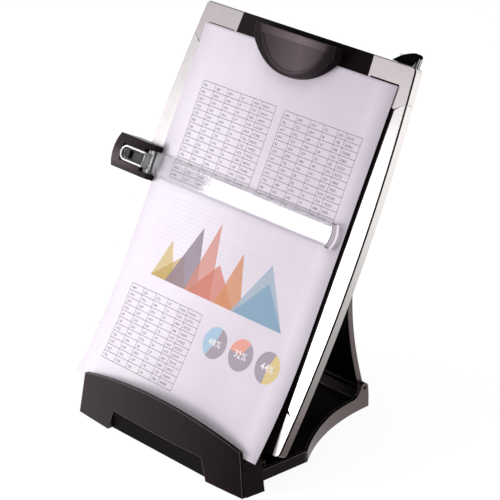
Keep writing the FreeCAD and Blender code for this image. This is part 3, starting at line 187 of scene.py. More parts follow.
def relief(tree, shader, pattern, depth, edge):
    """Bump from a noise, depth in metres, on normals that are rounded at edges."""
    soft = add_node(tree, "ShaderNodeBevel", samples=4)
    soft.inputs["Radius"].default_value = edge
    bump = add_node(tree, "ShaderNodeBump")
    bump.inputs["Strength"].default_value = 1.0
    bump.inputs["Distance"].default_value = depth
    tree.links.new(pattern.outputs["Fac"], bump.inputs["Height"])
    tree.links.new(soft.outputs["Normal"], bump.inputs["Normal"])
    tree.links.new(bump.outputs["Normal"], shader.inputs["Normal"])


def moulded(name, dark, light, roughness, grain, depth, edge=0.5 * MM, specular=0.5, warmth=1.0):
    """Moulded plastic: two close tones, a fine grain in bump and in gloss, and a gloss that may be warm."""
    material, tree, shader = new_material(name)
    tint(tree, noise(tree, 60.0), dark, light, shader.inputs["Base Color"])
    fine = noise(tree, grain, 3.0)
    vary(tree, fine, roughness * 0.85, roughness * 1.15, shader.inputs["Roughness"])
    shader.inputs["Specular IOR Level"].default_value = specular
    shader.inputs["Specular Tint"].default_value = (1.0, warmth, 0.5 + 0.5 * warmth, 1.0)
    relief(tree, shader, fine, depth, edge)
    return material


# %% [markdown]
# ## The blacks
#
# The base, the leg and the panel's inside are matt black: the mould was spark-eroded, which leaves a
# grain of about half a millimetre. The fascia, the clip and the slider have a polished mould. A long
# dark front rarely shows one even sheen, so the fascia's gloss fades slowly from one end to the other.
# The platform is glossy on its upright faces only, and the leg on the faces that look along X. The
# edges of the platform, the fascia and the clip carry a painted highlight: a lighter line along them.

# %% Black plastics and rubber
def scale_gloss(material, level):
    """Multiply the material's gloss by one more level. The first level takes the place of its own."""
    tree = material.node_tree
    gloss = tree.nodes["Principled BSDF"].inputs["Specular IOR Level"]
    if gloss.is_linked:
        level = calculate(tree, "MULTIPLY", gloss.links[0].from_socket, level)
    tree.links.new(level, gloss)


def gloss_along(material, axis, start, end, from_level, to_level):
    """Let the gloss change along X, Y or Z of the piece, from one place to another (metres)."""
    tree = material.node_tree
    place = add_node(tree, "ShaderNodeTexCoord")
    split = add_node(tree, "ShaderNodeSeparateXYZ")
    tree.links.new(place.outputs["Object"], split.inputs[0])
    scale_gloss(material, map_range(tree, split.outputs[axis], (start, end), (from_level, to_level)))


def painted_edge_highlights(material, width, tone):
    """Painted highlight, a lighter colour at edges: the more the rounded normal differs from the face's own,
    the nearer is an edge.
    """
    tree = material.node_tree
    base = tree.nodes["Principled BSDF"].inputs["Base Color"]
    rounded = add_node(tree, "ShaderNodeBevel", samples=8)
    rounded.inputs["Radius"].default_value = width
    flat = add_node(tree, "ShaderNodeNewGeometry")
    agree = dot_product(tree, rounded.outputs["Normal"], flat.outputs["True Normal"])
    near = map_range(tree, agree, (0.97, 0.82), (0.0, 1.0))
    tree.links.new(mix_colors(tree, near, base.links[0].from_socket, (*tone, 1.0)), base)


def gloss_facing(material, direction, side_on, facing):
    """Gloss by which way a face looks: one level square to the direction, another along it."""
    tree = material.node_tree
    surface = add_node(tree, "ShaderNodeNewGeometry")
    size = calculate(tree, "ABSOLUTE", dot_product(tree, surface.outputs["True Normal"], direction))
    scale_gloss(material, map_range(tree, size, (0.5, 0.9), (side_on, facing)))


def dense_skin(material, warm_tone):
    """A denser skin than most plastic has, which mirrors more, and in a warm tone."""
    shader = material.node_tree.nodes["Principled BSDF"]
    shader.inputs["IOR"].default_value = 1.62
    shader.inputs["Specular Tint"].default_value = (*warm_tone, 1.0)


matt_black = moulded("matt_black_plastic", (0.0022, 0.0014, 0.0018), (0.0036, 0.0024, 0.0028),
                     0.45, 1800.0, 0.02 * MM, specular=0.09, warmth=0.75)
platform_black = moulded("platform_black_plastic", (0.0030, 0.0018, 0.0020), (0.0046, 0.0030, 0.0032),
                         0.40, 1800.0, 0.015 * MM, edge=0.8 * MM, specular=0.2)
gloss_along(platform_black, "Y", -0.016, -0.006, 0.06, 1.0)
gloss_facing(platform_black, (0.0, 0.0, 1.0), 1.0, 0.03)
dense_skin(platform_black, (1.0, 0.74, 0.75))
# painted highlight: a lighter line along the platform's edges
painted_edge_highlights(platform_black, 1.0 * MM, (0.36, 0.29, 0.27))
leg_black = moulded("leg_black_plastic", (0.0030, 0.0020, 0.0024), (0.0046, 0.0032, 0.0036),
                    0.40, 1800.0, 0.015 * MM, edge=0.8 * MM, specular=0.25)
gloss_facing(leg_black, (1.0, 0.0, 0.0), 0.10, 1.0)
dense_skin(leg_black, (1.0, 0.78, 0.74))
fascia_black = moulded("fascia_black_plastic", (0.007, 0.004, 0.005), (0.010, 0.006, 0.007),
                       0.36, 2600.0, 0.006 * MM, edge=0.8 * MM, specular=0.15, warmth=0.72)
gloss_along(fascia_black, "X", -0.1, 0.1, 0.27, 0.02)
# painted highlight: a lighter line along the fascia's edges
painted_edge_highlights(fascia_black, 0.6 * MM, (0.36, 0.30, 0.29))
drawer_black = moulded("drawer_black_plastic", (0.0030, 0.0022, 0.0018), (0.0044, 0.0034, 0.0028),
                       0.45, 1800.0, 0.02 * MM, specular=0.02, warmth=0.75)
housing_black = moulded("housing_black_plastic", (0.004, 0.0025, 0.003), (0.006, 0.004, 0.0045),
                        0.40, 2600.0, 0.006 * MM, edge=0.6 * MM, specular=0.06, warmth=0.75)
gloss_along(housing_black, "X", -0.075, 0.03, 0.10, 0.02)
slider_black = moulded("slider_black_plastic", (0.009, 0.006, 0.007), (0.012, 0.008, 0.009),
                       0.28, 900.0, 0.002 * MM, edge=0.8 * MM, specular=0.25, warmth=0.75)
gloss_along(slider_black, "X", -0.146, -0.112, 0.40, 0.08)
clip_black = moulded("clip_black_plastic", (0.011, 0.0075, 0.009), (0.015, 0.0105, 0.012),
                     0.34, 900.0, 0.002 * MM, edge=1.0 * MM, specular=0.2, warmth=0.72)
# painted highlight: a lighter line along the clip's edges
painted_edge_highlights(clip_black, 0.35 * MM, (0.17, 0.14, 0.14))
fin_black = moulded("fin_black_plastic", (0.0014, 0.0012, 0.0010), (0.0024, 0.0020, 0.0018),
                    0.6, 1800.0, 0.01 * MM, specular=0.01)
rubber = moulded("grey_rubber", (0.014, 0.013, 0.013), (0.022, 0.021, 0.021), 0.8, 3000.0, 0.05 * MM,
                 specular=0.25)
print("black finishes:", matt_black.name, platform_black.name, fascia_black.name, clip_black.name,
      rubber.name)

# %% [markdown]
# ## Directions on the panel
#
# The panel leans, so its pieces are easiest to describe in its own directions: across, up the slope and
# out of its front. The slope is the line that the slider travels on, and the front plane is where the
# silver strips lie.

# %% Panel coordinates
ACROSS = np.array([1.0, 0.0, 0.0])
SLOPE = np.array(joints["slider_travel"]["axis"], dtype=float)
OUT = np.cross(ACROSS, SLOPE)


def corners(name):
    """The vertices of a CAD node as an array."""
    mesh = nodes[name].data
    flat = np.empty(3 * len(mesh.vertices), dtype=np.float32)
    mesh.vertices.foreach_get("co", flat)
    return flat.reshape(-1, 3).astype(float)


FRONT_PLANE = (corners("right_side_rail") @ OUT).max()
FOOT_OF_SLOPE = (corners("centre_sheet") @ SLOPE).min()


def on_panel(across, rise, out):
    """Point = across * X + (foot + rise) * slope + (front plane + out) * outward, all arrays in metres."""
    across, rise, out = np.broadcast_arrays(across, rise, out)
    return (across[..., None] * ACROSS + (FOOT_OF_SLOPE + rise)[..., None] * SLOPE
            + (FRONT_PLANE + out)[..., None] * OUT)


PANEL_LENGTH = 302.8 * MM
CLIP_HALF = 44 * MM
print("slope:", SLOPE.round(3), "front plane:", round(FRONT_PLANE, 4))

# %% [markdown]
# ## The silver paint
#
# The rails and corner caps are plastic under silver paint. The flakes are far too small to see one by
# one, so they show as a soft sparkle: a fine noise in the gloss, and almost no relief. A painted
# shadow keeps the groove behind the front face black, without the paint's metal and gloss, and the top
# end is the same. A painted shade darkens the side face from the top towards the foot. Both follow from
# how far a point lies behind the front plane and up the slope. The gloss of the clip's lever is set
# with the same measures.

# %% Silver
def measure(tree, direction, start, scale):
    """(object position . direction - start) * scale: a distance along one direction of the panel."""
    place = add_node(tree, "ShaderNodeTexCoord")
    distance = dot_product(tree, place.outputs["Object"], tuple(direction))
    return calculate(tree, "MULTIPLY_ADD", distance, scale, -start * scale)


def silver_paint(name, front, side, metallic, roughness):
    """Metallic paint with fine flakes; front and side are the tones before and behind the groove."""
    material, tree, shader = new_material(name)
    wander = noise(tree, 45.0).outputs["Fac"]
    front_tone = band_ramp(tree, wander, [(0.3, front), (0.7, tuple(1.06 * c for c in front))])
    up = measure(tree, SLOPE, FOOT_OF_SLOPE, 1.0 / PANEL_LENGTH)
    # Painted shade: the side face's tone darkens from the top towards the foot.
    low_side = (0.130, 0.100, 0.098)
    mid_side = tuple(0.42 * c for c in side)
    high_side = tuple(0.86 * c for c in side)
    side_tone = band_ramp(tree, up, [(0.03, low_side), (0.33, mid_side), (0.62, high_side), (0.85, side)])
    depth = measure(tree, -OUT, -FRONT_PLANE, 100.0)
    behind = band_ramp(tree, depth, [(0.19, 0.0), (0.20, 1.0)])
    # Painted shadow: the groove behind the front face turns black, and the top end turns black too.
    groove = band_ramp(tree, depth, [(0.003, 0.0), (0.007, 1.0), (0.200, 1.0), (0.220, 0.0)])
    top_end = band_ramp(tree, up, [(0.9970, 0.0), (0.9985, 1.0)])
    black_groove_and_top = calculate(tree, "MAXIMUM", groove, top_end)
    tone = mix_colors(tree, behind, front_tone, side_tone)
    tree.links.new(mix_colors(tree, black_groove_and_top, tone, (0.012, 0.008, 0.009, 1.0)), shader.inputs["Base Color"])
    for socket, painted in (("Metallic", metallic), ("Specular IOR Level", 0.5)):
        tree.links.new(map_range(tree, black_groove_and_top, (0.0, 1.0), (painted, 0.02)), shader.inputs[socket])
    flakes = noise(tree, 4200.0, 2.0)
    vary(tree, flakes, roughness * 0.8, roughness * 1.25, shader.inputs["Roughness"])
    relief(tree, shader, flakes, 0.002 * MM, 0.3 * MM)
    return material


def clip_sheen(material, rise=0.3068, radius=0.0365, band=0.2921):
    """Gloss of the lever: full on the band above the recess, less in the recess (within the radius of the
    point at that rise) and least on the border below it and towards the right-hand end."""
    tree = material.node_tree
    place = add_node(tree, "ShaderNodeTexCoord")
    away = add_node(tree, "ShaderNodeVectorMath", operation="DISTANCE")
    away.inputs[1].default_value = tuple(on_panel(0.0, rise, 0.010))
    tree.links.new(place.outputs["Object"], away.inputs[0])
    up = measure(tree, SLOPE, FOOT_OF_SLOPE + band - 0.001, 500.0)
    along = measure(tree, ACROSS, -CLIP_HALF, 0.5 / CLIP_HALF)
    scale_gloss(material, map_range(tree, away.outputs["Value"], (radius, radius + 0.003), (1.0, 0.25)))
    scale_gloss(material, band_ramp(tree, up, [(0.0, 0.21), (1.0, 0.36)]))
    scale_gloss(material, band_ramp(tree, along, [(0.0, 0.6), (0.30, 0.9), (0.62, 1.0), (0.80, 0.55),
                                                  (0.97, 0.04)]))


clip_sheen(clip_black)
rail_silver = silver_paint("rail_silver", (0.50, 0.47, 0.48), (1.0, 0.955, 0.935), 0.95, 0.32)
# The caps' front tone is darker than the rails': a painted shade for how the light falls on them.
shaded_cap_silver = silver_paint("shaded_cap_silver", (0.385, 0.35, 0.362), (1.0, 0.955, 0.935), 0.95, 0.40)
print("silver finishes:", rail_silver.name, shaded_cap_silver.name)

# %% [markdown]
# ## Clear plastic, whiteboard and steel
#
# Clear plastic is all transmission, and drawn steel is metal with streaks along X. The memo board is
# white, with two dark stripes along its right-hand edge.

# %% The other hard finishes
def clear_plastic():
    """Clear acrylic with soft edges and faint handling marks in its gloss."""
    material, tree, shader = new_material("clear_acrylic")
    shader.inputs["Base Color"].default_value = (0.96, 0.965, 0.97, 1.0)
    shader.inputs["Transmission Weight"].default_value = 1.0
    shader.inputs["IOR"].default_value = 1.49
    marks = noise(tree, 240.0, 6.0)
    vary(tree, marks, 0.015, 0.06, shader.inputs["Roughness"])
    soft = add_node(tree, "ShaderNodeBevel", samples=4)
    soft.inputs["Radius"].default_value = 0.35 * MM
    tree.links.new(soft.outputs["Normal"], shader.inputs["Normal"])
    return material


def drawn_steel(name, dark, light):
    """Steel with streaks along x, the way rods are drawn."""
    material, tree, shader = new_material(name)
    place = add_node(tree, "ShaderNodeTexCoord")
    stretch = add_node(tree, "ShaderNodeMapping")
    stretch.inputs["Scale"].default_value = (0.04, 1.0, 1.0)
    streaks = add_node(tree, "ShaderNodeTexNoise", scale=5000.0, detail=2.0)
    tree.links.new(place.outputs["Object"], stretch.inputs["Vector"])
    tree.links.new(stretch.outputs["Vector"], streaks.inputs["Vector"])
    tint(tree, streaks, dark, light, shader.inputs["Base Color"])
    vary(tree, streaks, 0.22, 0.38, shader.inputs["Roughness"])
    shader.inputs["Metallic"].default_value = 1.0
    return material


def stripe_board_edge(material):
    """Two dark stripes along the board's right-hand edge, within its last five millimetres."""
    tree = material.node_tree
    from_edge = measure(tree, -ACROSS, -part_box("memo_board")[1][0], 200.0)
    shade_base(material, band_ramp(tree, from_edge, [
        (0.0, 1.0), (0.22, 1.0), (0.28, 0.03), (0.42, 0.03), (0.46, 1.0),
        (0.56, 1.0), (0.60, 0.03), (0.96, 0.03), (1.0, 1.0)]))


acrylic = clear_plastic()
steel = drawn_steel("drawn_steel", (0.48, 0.48, 0.49), (0.62, 0.62, 0.63))
black_steel = drawn_steel("blackened_steel", (0.010, 0.009, 0.009), (0.022, 0.020, 0.020))
whiteboard = moulded("whiteboard_face", (0.80, 0.80, 0.80), (0.84, 0.84, 0.84), 0.14, 400.0, 0.001 * MM)
stripe_board_edge(whiteboard)
print("hard finishes:", acrylic.name, steel.name, whiteboard.name)

# %% [markdown]
# ## Dress the CAD pieces
#
# A CAD piece comes in as loose triangles, which shade as facets. A small geometry node group welds them
# and marks as sharp only the edges that turn by more than thirty degrees, so a bowed rail reflects as
# one smooth curve while its corners stay crisp. It is a modifier, so the piece's own mesh stays as it is.

# %% Smooth by angle
def smooth_group(limit_degrees):
    """Geometry nodes: weld, smooth all faces, keep edges sharper than the limit."""
    tree = bpy.data.node_groups.new("smooth_by_angle", "GeometryNodeTree")
    tree.interface.new_socket("Geometry", in_out="INPUT", socket_type="NodeSocketGeometry")
    tree.interface.new_socket("Geometry", in_out="OUTPUT", socket_type="NodeSocketGeometry")
    start = tree.nodes.new("NodeGroupInput")
    end = tree.nodes.new("NodeGroupOutput")
    weld = tree.nodes.new("GeometryNodeMergeByDistance")
    weld.inputs["Distance"].default_value = 0.002 * MM
    faces = tree.nodes.new("GeometryNodeSetShadeSmooth")
    faces.domain = "FACE"
    edges = tree.nodes.new("GeometryNodeSetShadeSmooth")
    edges.domain = "EDGE"
    edges.inputs["Shade Smooth"].default_value = False
    angle = tree.nodes.new("GeometryNodeInputMeshEdgeAngle")
    compare = tree.nodes.new("FunctionNodeCompare")
    compare.operation = "GREATER_THAN"
    compare.inputs[1].default_value = math.radians(limit_degrees)
    tree.links.new(angle.outputs["Unsigned Angle"], compare.inputs[0])
    tree.links.new(start.outputs[0], weld.inputs["Geometry"])
    tree.links.new(weld.outputs["Geometry"], faces.inputs["Geometry"])
    tree.links.new(faces.outputs["Geometry"], edges.inputs["Geometry"])
    tree.links.new(compare.outputs["Result"], edges.inputs["Selection"])
    tree.links.new(edges.outputs["Geometry"], end.inputs[0])
    return tree


smooth_tree = smooth_group(30.0)

finishes = {
    matt_black: ["front_bar", "drawer_bay_cover", "drawer_runners", "drawer_tray",
                 "centre_sheet", "middle_plate", "back_cover", "right_leg_rack", "left_leg_rack",
                 "slider_back_shell"],
    platform_black: ["base_platform"],
    drawer_black: ["drawer_front"],
    leg_black: ["rear_leg"],
    fascia_black: ["front_fascia"],
    housing_black: ["clip_housing"],
    slider_black: ["slider_front_shell"],
    clip_black: ["clip_lever"],
    fin_black: ["memo_grip"],
    rail_silver: ["right_side_rail", "left_side_rail"],
    shaded_cap_silver: ["right_top_corner_cap", "left_top_corner_cap", "right_low_corner_cap",
                 "left_low_corner_cap"],
    acrylic: ["line_guide"],
    whiteboard: ["memo_board"],
    rubber: ["rubber_feet", "clip_pad", "slider_brake_pad", "guide_stop_block"],
    steel: ["base_screws", "cover_screws", "panel_hinge_pins", "leg_top_rod", "clip_pin",
            "clip_spring", "guide_pin"],
    black_steel: ["leg_pivot_rod"],
}
for material, names in finishes.items():
    for name in names:
        piece = nodes[name]
        for place in piece.material_slots:
            place.material = material
        modifier = piece.modifiers.new("smooth_by_angle", "NODES")
        modifier.node_group = smooth_tree
print("dressed:", sum(len(names) for names in finishes.values()), "CAD pieces")

# %% [markdown]
# ## From arrays to pieces
#
# A surface is a grid of points, so its faces follow from the grid's shape alone. These helpers turn
# arrays into a mesh and let it ride on the body that carries it.

# %% Mesh helpers
def grid_faces(rows, columns, closed=False):
    """Quads between neighbours of a rows by columns grid; closed joins the last column to the first."""
    index = np.arange(rows * columns).reshape(rows, columns)
    if closed:
        index = np.hstack([index, index[:, :1]])
    quads = np.stack([index[:-1, :-1], index[:-1, 1:], index[1:, 1:], index[1:, :-1]], axis=-1)
    return quads.reshape(-1, 4)


def tube_faces(rows, columns):
    """Side faces of a closed grid, and its first and last ring as the two end faces."""
    sides = [tuple(face) for face in grid_faces(rows, columns, closed=True)]
    last = (rows - 1) * columns
    return sides, tuple(range(columns)), tuple(range(last, last + columns))


def add_piece(name, points, faces, materials, body, which=None, smooth=True):
    """A mesh object from arrays, with its materials, on its body; which gives each face its material."""
    mesh = bpy.data.meshes.new(name)
    mesh.from_pydata(points.reshape(-1, 3).tolist(), [], [list(face) for face in faces])
    for material in materials:
        mesh.materials.append(material)
    if which is not None:
        mesh.polygons.foreach_set("material_index", np.asarray(which, dtype=np.int32))
    mesh.polygons.foreach_set("use_smooth", np.full(len(mesh.polygons), smooth))
    mesh.update()
    piece = bpy.data.objects.new(name, mesh)
    bpy.context.scene.collection.objects.link(piece)
    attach(piece, body)
    return piece


def join(parts):
    """Several (points, faces) pairs as one pair."""
    points, faces, count = [], [], 0
    for part_points, part_faces in parts:
        flat = part_points.reshape(-1, 3)
        points.append(flat)
        faces += [tuple(int(i) + count for i in face) for face in part_faces]
        count += len(flat)
    return np.vstack(points), faces


# %% [markdown]
# ## The sheets of paper
#
# A sheet is flat under the clip. Below that it comes forward onto the ledge, so its lower part is rolled
# to one large radius. A sheet of paper can bend only one way at a time, which is why this curve is a
# plain arc: the distance down the sheet stays true, and print keeps its size.

# %% The curve of the sheet
_, paper_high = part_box("sample_document")
PAPER_HALF = paper_high[0]
PAPER_LENGTH = 297 * MM
PAPER_TOP = (corners("sample_document") @ SLOPE).max() - FOOT_OF_SLOPE
FLAT_LENGTH = 197.4 * MM
BEND_RADIUS = 526 * MM
TOP_SHEET = 1.0 * MM


def on_sheet(across, down, lift=0.0):
    """Point of the top sheet: down metres below its top edge, lift above it. Past the flat length
    the sheet follows an arc: rise falls by R sin(a) and it comes out by R (1 - cos(a))."""
    turn = np.maximum(down - FLAT_LENGTH, 0.0) / BEND_RADIUS
    flat = np.minimum(down, FLAT_LENGTH)
    radius = BEND_RADIUS - lift
    rise = PAPER_TOP - flat - radius * np.sin(turn)
    out = TOP_SHEET + BEND_RADIUS - radius * np.cos(turn)
    return on_panel(across, rise, out)


# %% Paper
def office_paper():
    """White paper with a faint lilac cast, painted shade towards the right and the top, soft fibres and a
    slight waviness.
    """
    material, tree, shader = new_material("office_paper")
    tint(tree, noise(tree, 30.0), (0.83, 0.765, 0.85), (0.87, 0.81, 0.885), shader.inputs["Base Color"])
    across = measure(tree, ACROSS, -PAPER_HALF, 0.5 / PAPER_HALF)
    up = measure(tree, SLOPE, FOOT_OF_SLOPE, 1.0 / 0.300)
    # Painted shade: the base colour is darker from the middle to near the right-hand edge, and towards the
    # top.
    shade_base(material, band_ramp(tree, across, [
        (0.0, 1.0), (0.28, 0.98), (0.52, (0.87, 0.85, 0.87)), (0.70, (0.83, 0.81, 0.83)),
        (0.88, (0.84, 0.82, 0.84)), (1.0, (1.0, 0.98, 1.0))]))
    shade_base(material, band_ramp(tree, up, [(0.0, 1.0), (0.55, 1.0), (0.95, (0.87, 0.855, 0.87))]))
    fibres = noise(tree, 2500.0, 6.0)
    vary(tree, fibres, 0.62, 0.75, shader.inputs["Roughness"])
    shader.inputs["Specular IOR Level"].default_value = 0.25
    bump = add_node(tree, "ShaderNodeBump")
    bump.inputs["Strength"].default_value = 0.6
    bump.inputs["Distance"].default_value = 0.01 * MM
    tree.links.new(fibres.outputs["Fac"], bump.inputs["Height"])
    tree.links.new(bump.outputs["Normal"], shader.inputs["Normal"])
    return material


def paper_sheet(name, lift, shift, replaced=()):
    """One sheet as a 12 by 120 grid, with its thickness from a Solidify modifier."""
    across = np.linspace(-PAPER_HALF, PAPER_HALF, 12)
    down = np.linspace(0.0, PAPER_LENGTH, 120)
    grid_across, grid_down = np.meshgrid(across, down)
    points = on_sheet(grid_across + shift, grid_down, lift)
    piece = add_piece(name, points, grid_faces(120, 12)[:, ::-1], [paper], "panel")
    wall = piece.modifiers.new("thickness", "SOLIDIFY")
    wall.thickness = 0.1 * MM
    wall.offset = -1.0
    if replaced:
        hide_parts(*replaced)


paper = office_paper()
UNDER_SHEETS = 2
paper_sheet("top_sheet", 0.0, 0.0, ["sample_document"])
for k in range(1, UNDER_SHEETS + 1):
    paper_sheet(f"under_sheet_{k}", -0.25 * MM * k, -1.55 * MM * k)
print("sheets:", 1 + UNDER_SHEETS, "paper width:", round(2 * PAPER_HALF, 4))

# %% [markdown]
# ## What is printed on it
#
# Print has no thickness of its own, but a renderer needs to know what lies on top, so each ink lies a
# few hundredths of a millimetre above the paper. Rules, charts and figures are made flat, in distances
# across and down the sheet, and then laid on its curve.

# %% Inks
def ink(name, color, strength=1.0):
    """Printing ink: matt, a little uneven, and as opaque as its strength."""
    material, tree, shader = new_material(name)
    dark = tuple(0.94 * c for c in color)
    tint(tree, noise(tree, 900.0), dark, color, shader.inputs["Base Color"])
    shader.inputs["Roughness"].default_value = 0.6
    shader.inputs["Specular IOR Level"].default_value = 0.2
    shader.inputs["Alpha"].default_value = strength
    return material


GREY_INK = ink("grey_ink", (0.18, 0.15, 0.18))
FIGURE_INK = ink("figure_ink", (0.10, 0.085, 0.10))
FAINT_INK = ink("faint_ink", (0.62, 0.58, 0.64))
PEAK_INKS = {
    "yellow": ink("yellow_ink", (0.80, 0.62, 0.27), 0.62),
    "gold": ink("gold_ink", (0.70, 0.50, 0.17), 0.55),
    "mauve": ink("mauve_ink", (0.37, 0.29, 0.36), 0.66),
    "salmon": ink("salmon_ink", (0.82, 0.36, 0.29), 0.60),
    "red": ink("red_ink", (0.80, 0.29, 0.21), 0.62),
    "orange": ink("orange_ink", (0.80, 0.36, 0.18), 0.66),
    "sky": ink("sky_ink", (0.46, 0.57, 0.68), 0.66),
    "blue": ink("blue_ink", (0.30, 0.47, 0.64), 0.66),
    "white": ink("white_ink", (0.88, 0.85, 0.88)),
}
PIE_INKS = {
    "grey": ink("pie_grey_ink", (0.39, 0.33, 0.39)),
    "blue": ink("pie_blue_ink", (0.40, 0.55, 0.70)),
    "red": ink("pie_red_ink", (0.80, 0.36, 0.30)),
    "yellow": ink("pie_yellow_ink", (0.72, 0.56, 0.27)),
}


def strip(x0, x1, d0, d1, pieces=1):
    """A printed rectangle, cut into pieces down the sheet so that it can bend with it."""
    down = np.linspace(d0, d1, pieces + 1)
    across, down = np.meshgrid(np.array([x0, x1]), down)
    return np.stack([across, down], axis=-1), grid_faces(pieces + 1, 2)[:, ::-1]


def lay_on_sheet(name, parts, materials, lift, which=None):
    """Flat (across, down) parts in millimetres, laid on the sheet at a lift."""
    flat, faces = join([(np.dstack([points[..., 0], points[..., 1], np.zeros(points.shape[:-1])]), part_faces)
                        for points, part_faces in parts])
    points = on_sheet(flat[:, 0] * MM, flat[:, 1] * MM, lift * MM)
    return add_piece(name, points, faces, materials, "panel", which, smooth=False)


# %% [markdown]
# ### The tables
#
# A table is a set of thin rules, and a figure in each of its fields. The ten digits are made once, from
# Blender's own font, as small meshes; every figure on the page is a row of copies of them.

# %% Digits
def digit_mesh(character, height):
    """A character's outline from the built-in font, filled, with its height set in millimetres."""
    curve = bpy.data.curves.new("digit", "FONT")
    curve.body = character
    curve.resolution_u = 1
    curve.offset = 0.012
    writer = bpy.data.objects.new("digit", curve)
    bpy.context.scene.collection.objects.link(writer)
    mesh = bpy.data.meshes.new_from_object(writer.evaluated_get(bpy.context.evaluated_depsgraph_get()))
    points = np.empty(3 * len(mesh.vertices), dtype=np.float32)
    mesh.vertices.foreach_get("co", points)
    faces = [tuple(face.vertices) for face in mesh.polygons]
    bpy.data.objects.remove(writer)
    bpy.data.curves.remove(curve)
    bpy.data.meshes.remove(mesh)
    flat = points.reshape(-1, 3)[:, :2] * height
    flat[:, 0] -= flat[:, 0].min()
    return flat, faces


DIGIT_GAP = 0.35
DIGITS = {character: digit_mesh(character, 3.0) for character in "0123456789"}
print("digit faces:", sum(len(faces) for flat, faces in DIGITS.values()))


def figure(text, across, down, glyphs=DIGITS):
    """Digits side by side from a left end, with their feet on a line."""
    parts = []
    for character in text:
        flat, faces = glyphs[character]
        parts.append((np.stack([across + flat[:, 0], down - flat[:, 1]], axis=-1), faces))
        across += flat[:, 0].max() + DIGIT_GAP
    return parts


# %% Tables
ROW = 5.76
RULE = 0.42
COLUMNS = np.array([0.0, 14.6, 29.4, 44.0, 58.6, 68.2, 84.3])
DIGITS_PER_COLUMN = [3, 3, 3, 2, 3, 5]


def table_parts(left, top, rows, seed):
    """Rules and figures of one table: numbers from a seeded generator, wider in the last column."""
    rules, figures = [], []
    right, low = left + COLUMNS[-1], top + rows * ROW
    for k in range(rows + 1):
        rules.append(strip(left, right, top + k * ROW - RULE / 2, top + k * ROW + RULE / 2))
    for x in left + COLUMNS:
        rules.append(strip(x - RULE / 2, x + RULE / 2, top, low, rows))
    chance = np.random.default_rng(seed)
    for row in range(rows):
        for column, count in enumerate(DIGITS_PER_COLUMN):
            text = "".join(chance.choice(list("0123456789"), count))
            figures += figure(text, left + COLUMNS[column] + 1.8, top + (row + 0.72) * ROW)
    return rules, figures


tables = {  # left, top, rows, seed
    "upper_left": (-88.3, 44.0, 14, 3), "upper_right": (5.3, 44.6, 14, 5), "lower": (-89.3, 213.6, 11, 9)}
for name, (left, top, rows, seed) in tables.items():
    rules, figures = table_parts(left, top, rows, seed)
    lay_on_sheet(f"{name}_table_rules", rules, [GREY_INK], 0.02)
    lay_on_sheet(f"{name}_table_figures", figures, [FIGURE_INK], 0.03)
print("tables:", len(tables))

# %% [markdown]
# ### The chart of peaks
#
# Peaks are plain triangles in inks that let each other through, printed from the back to the front over
# pale guide rules.

# %% Peaks
BASE_LINE = 201.5
peaks = [  # ink, left foot, top (across, down), right foot
    ("yellow", -73.5, (-62.0, 170.0), -47.0), ("gold", -73.5, (-45.0, 178.0), -33.0),
    ("mauve", -56.5, (-34.0, 151.0), -19.0), ("salmon", -33.5, (-17.0, 142.5), -3.5),
    ("red", -30.5, (-5.0, 173.0), 23.5), ("orange", 1.5, (15.0, 157.5), 31.5),
    ("sky", 20.5, (47.0, 157.0), 77.5), ("blue", 23.5, (50.0, 171.0), 77.5)]
guide_rules = [strip(-76.0, right, down - 0.1, down + 0.1) for right, first in ((78.0, 142.0), (-2.0, 138.7))
               for down in np.arange(first, BASE_LINE, 6.6)]
lay_on_sheet("chart_guide_rules", guide_rules, [FAINT_INK], 0.01)
for layer, (color, left, (top_across, top_down), right) in enumerate(peaks):
    outline = np.array([[left, BASE_LINE], [right, BASE_LINE], [top_across, top_down]])
    lay_on_sheet(f"peak_{layer}_{color}", [(outline, [(0, 1, 2)])], [PEAK_INKS[color]], 0.02 + 0.015 * layer)
print("peaks:", len(peaks))

# %% [markdown]
# ### The pie charts
#
# A pie is a disc on a polar grid, so a share of it is simply the faces up to an angle.

# %% Pies
PIE_RADIUS = 12.5
PIE_LINE, LABEL_LINE = 229.0, 231.8
SPOKES, RINGS = 72, 5
pies = [(17.8, "blue", 48, -0.44), (47.3, "red", 32, -0.24), (77.0, "yellow", 44, 0.05)]
LARGE_DIGITS = {character: digit_mesh(character, 8.2) for character in "0123456789%"}


def pie(across, share, start):
    """Disc of radius r at angle a clockwise from the top; share percent of it from start turns."""
    radius = np.linspace(0.02, 1.0, RINGS) * PIE_RADIUS
    angle = 2 * np.pi * np.arange(SPOKES) / SPOKES
    grid_angle, grid_radius = np.meshgrid(angle, radius)
    points = np.stack([across + grid_radius * np.sin(grid_angle),
                       PIE_LINE - grid_radius * np.cos(grid_angle)], axis=-1)
    faces = grid_faces(RINGS, SPOKES, closed=True)[:, ::-1]
    turn = (np.tile(np.arange(SPOKES), RINGS - 1) / SPOKES - start) % 1.0
    return points, faces, (turn < share / 100.0).astype(int)


for across, color, share, start in pies:
    points, faces, which = pie(across, share, start)
    lay_on_sheet(f"pie_{color}", [(points, faces)], [PIE_INKS["grey"], PIE_INKS[color]], 0.05, which)
    label = figure(f"{share}%", 0.0, LABEL_LINE, LARGE_DIGITS)
    width = max(points[..., 0].max() for points, faces in label)
    label = [(points + [across - width / 2, 0.0], faces) for points, faces in label]
    lay_on_sheet(f"pie_{color}_label", label, [PEAK_INKS["white"]], 0.12)
print("pies:", len(pies))

# %% [markdown]
# ## The dark line round the frame
#
# The silver mouldings have a narrow groove just behind their front face, and a black strip fills its
# floor as a painted shadow. It draws the thin dark line that parts the front from the side. The path is
# the frame's own outline: a straight edge, a small arc at the corner, and one long shallow arc up the side.

# %% Groove filler
EDGE_HALF, EDGE_BOW, EDGE_LENGTH, EDGE_ROUND = 114.4, 8.4, 302.8, 4.0
LOW_END, HIGH_END = 109.6, 73.0


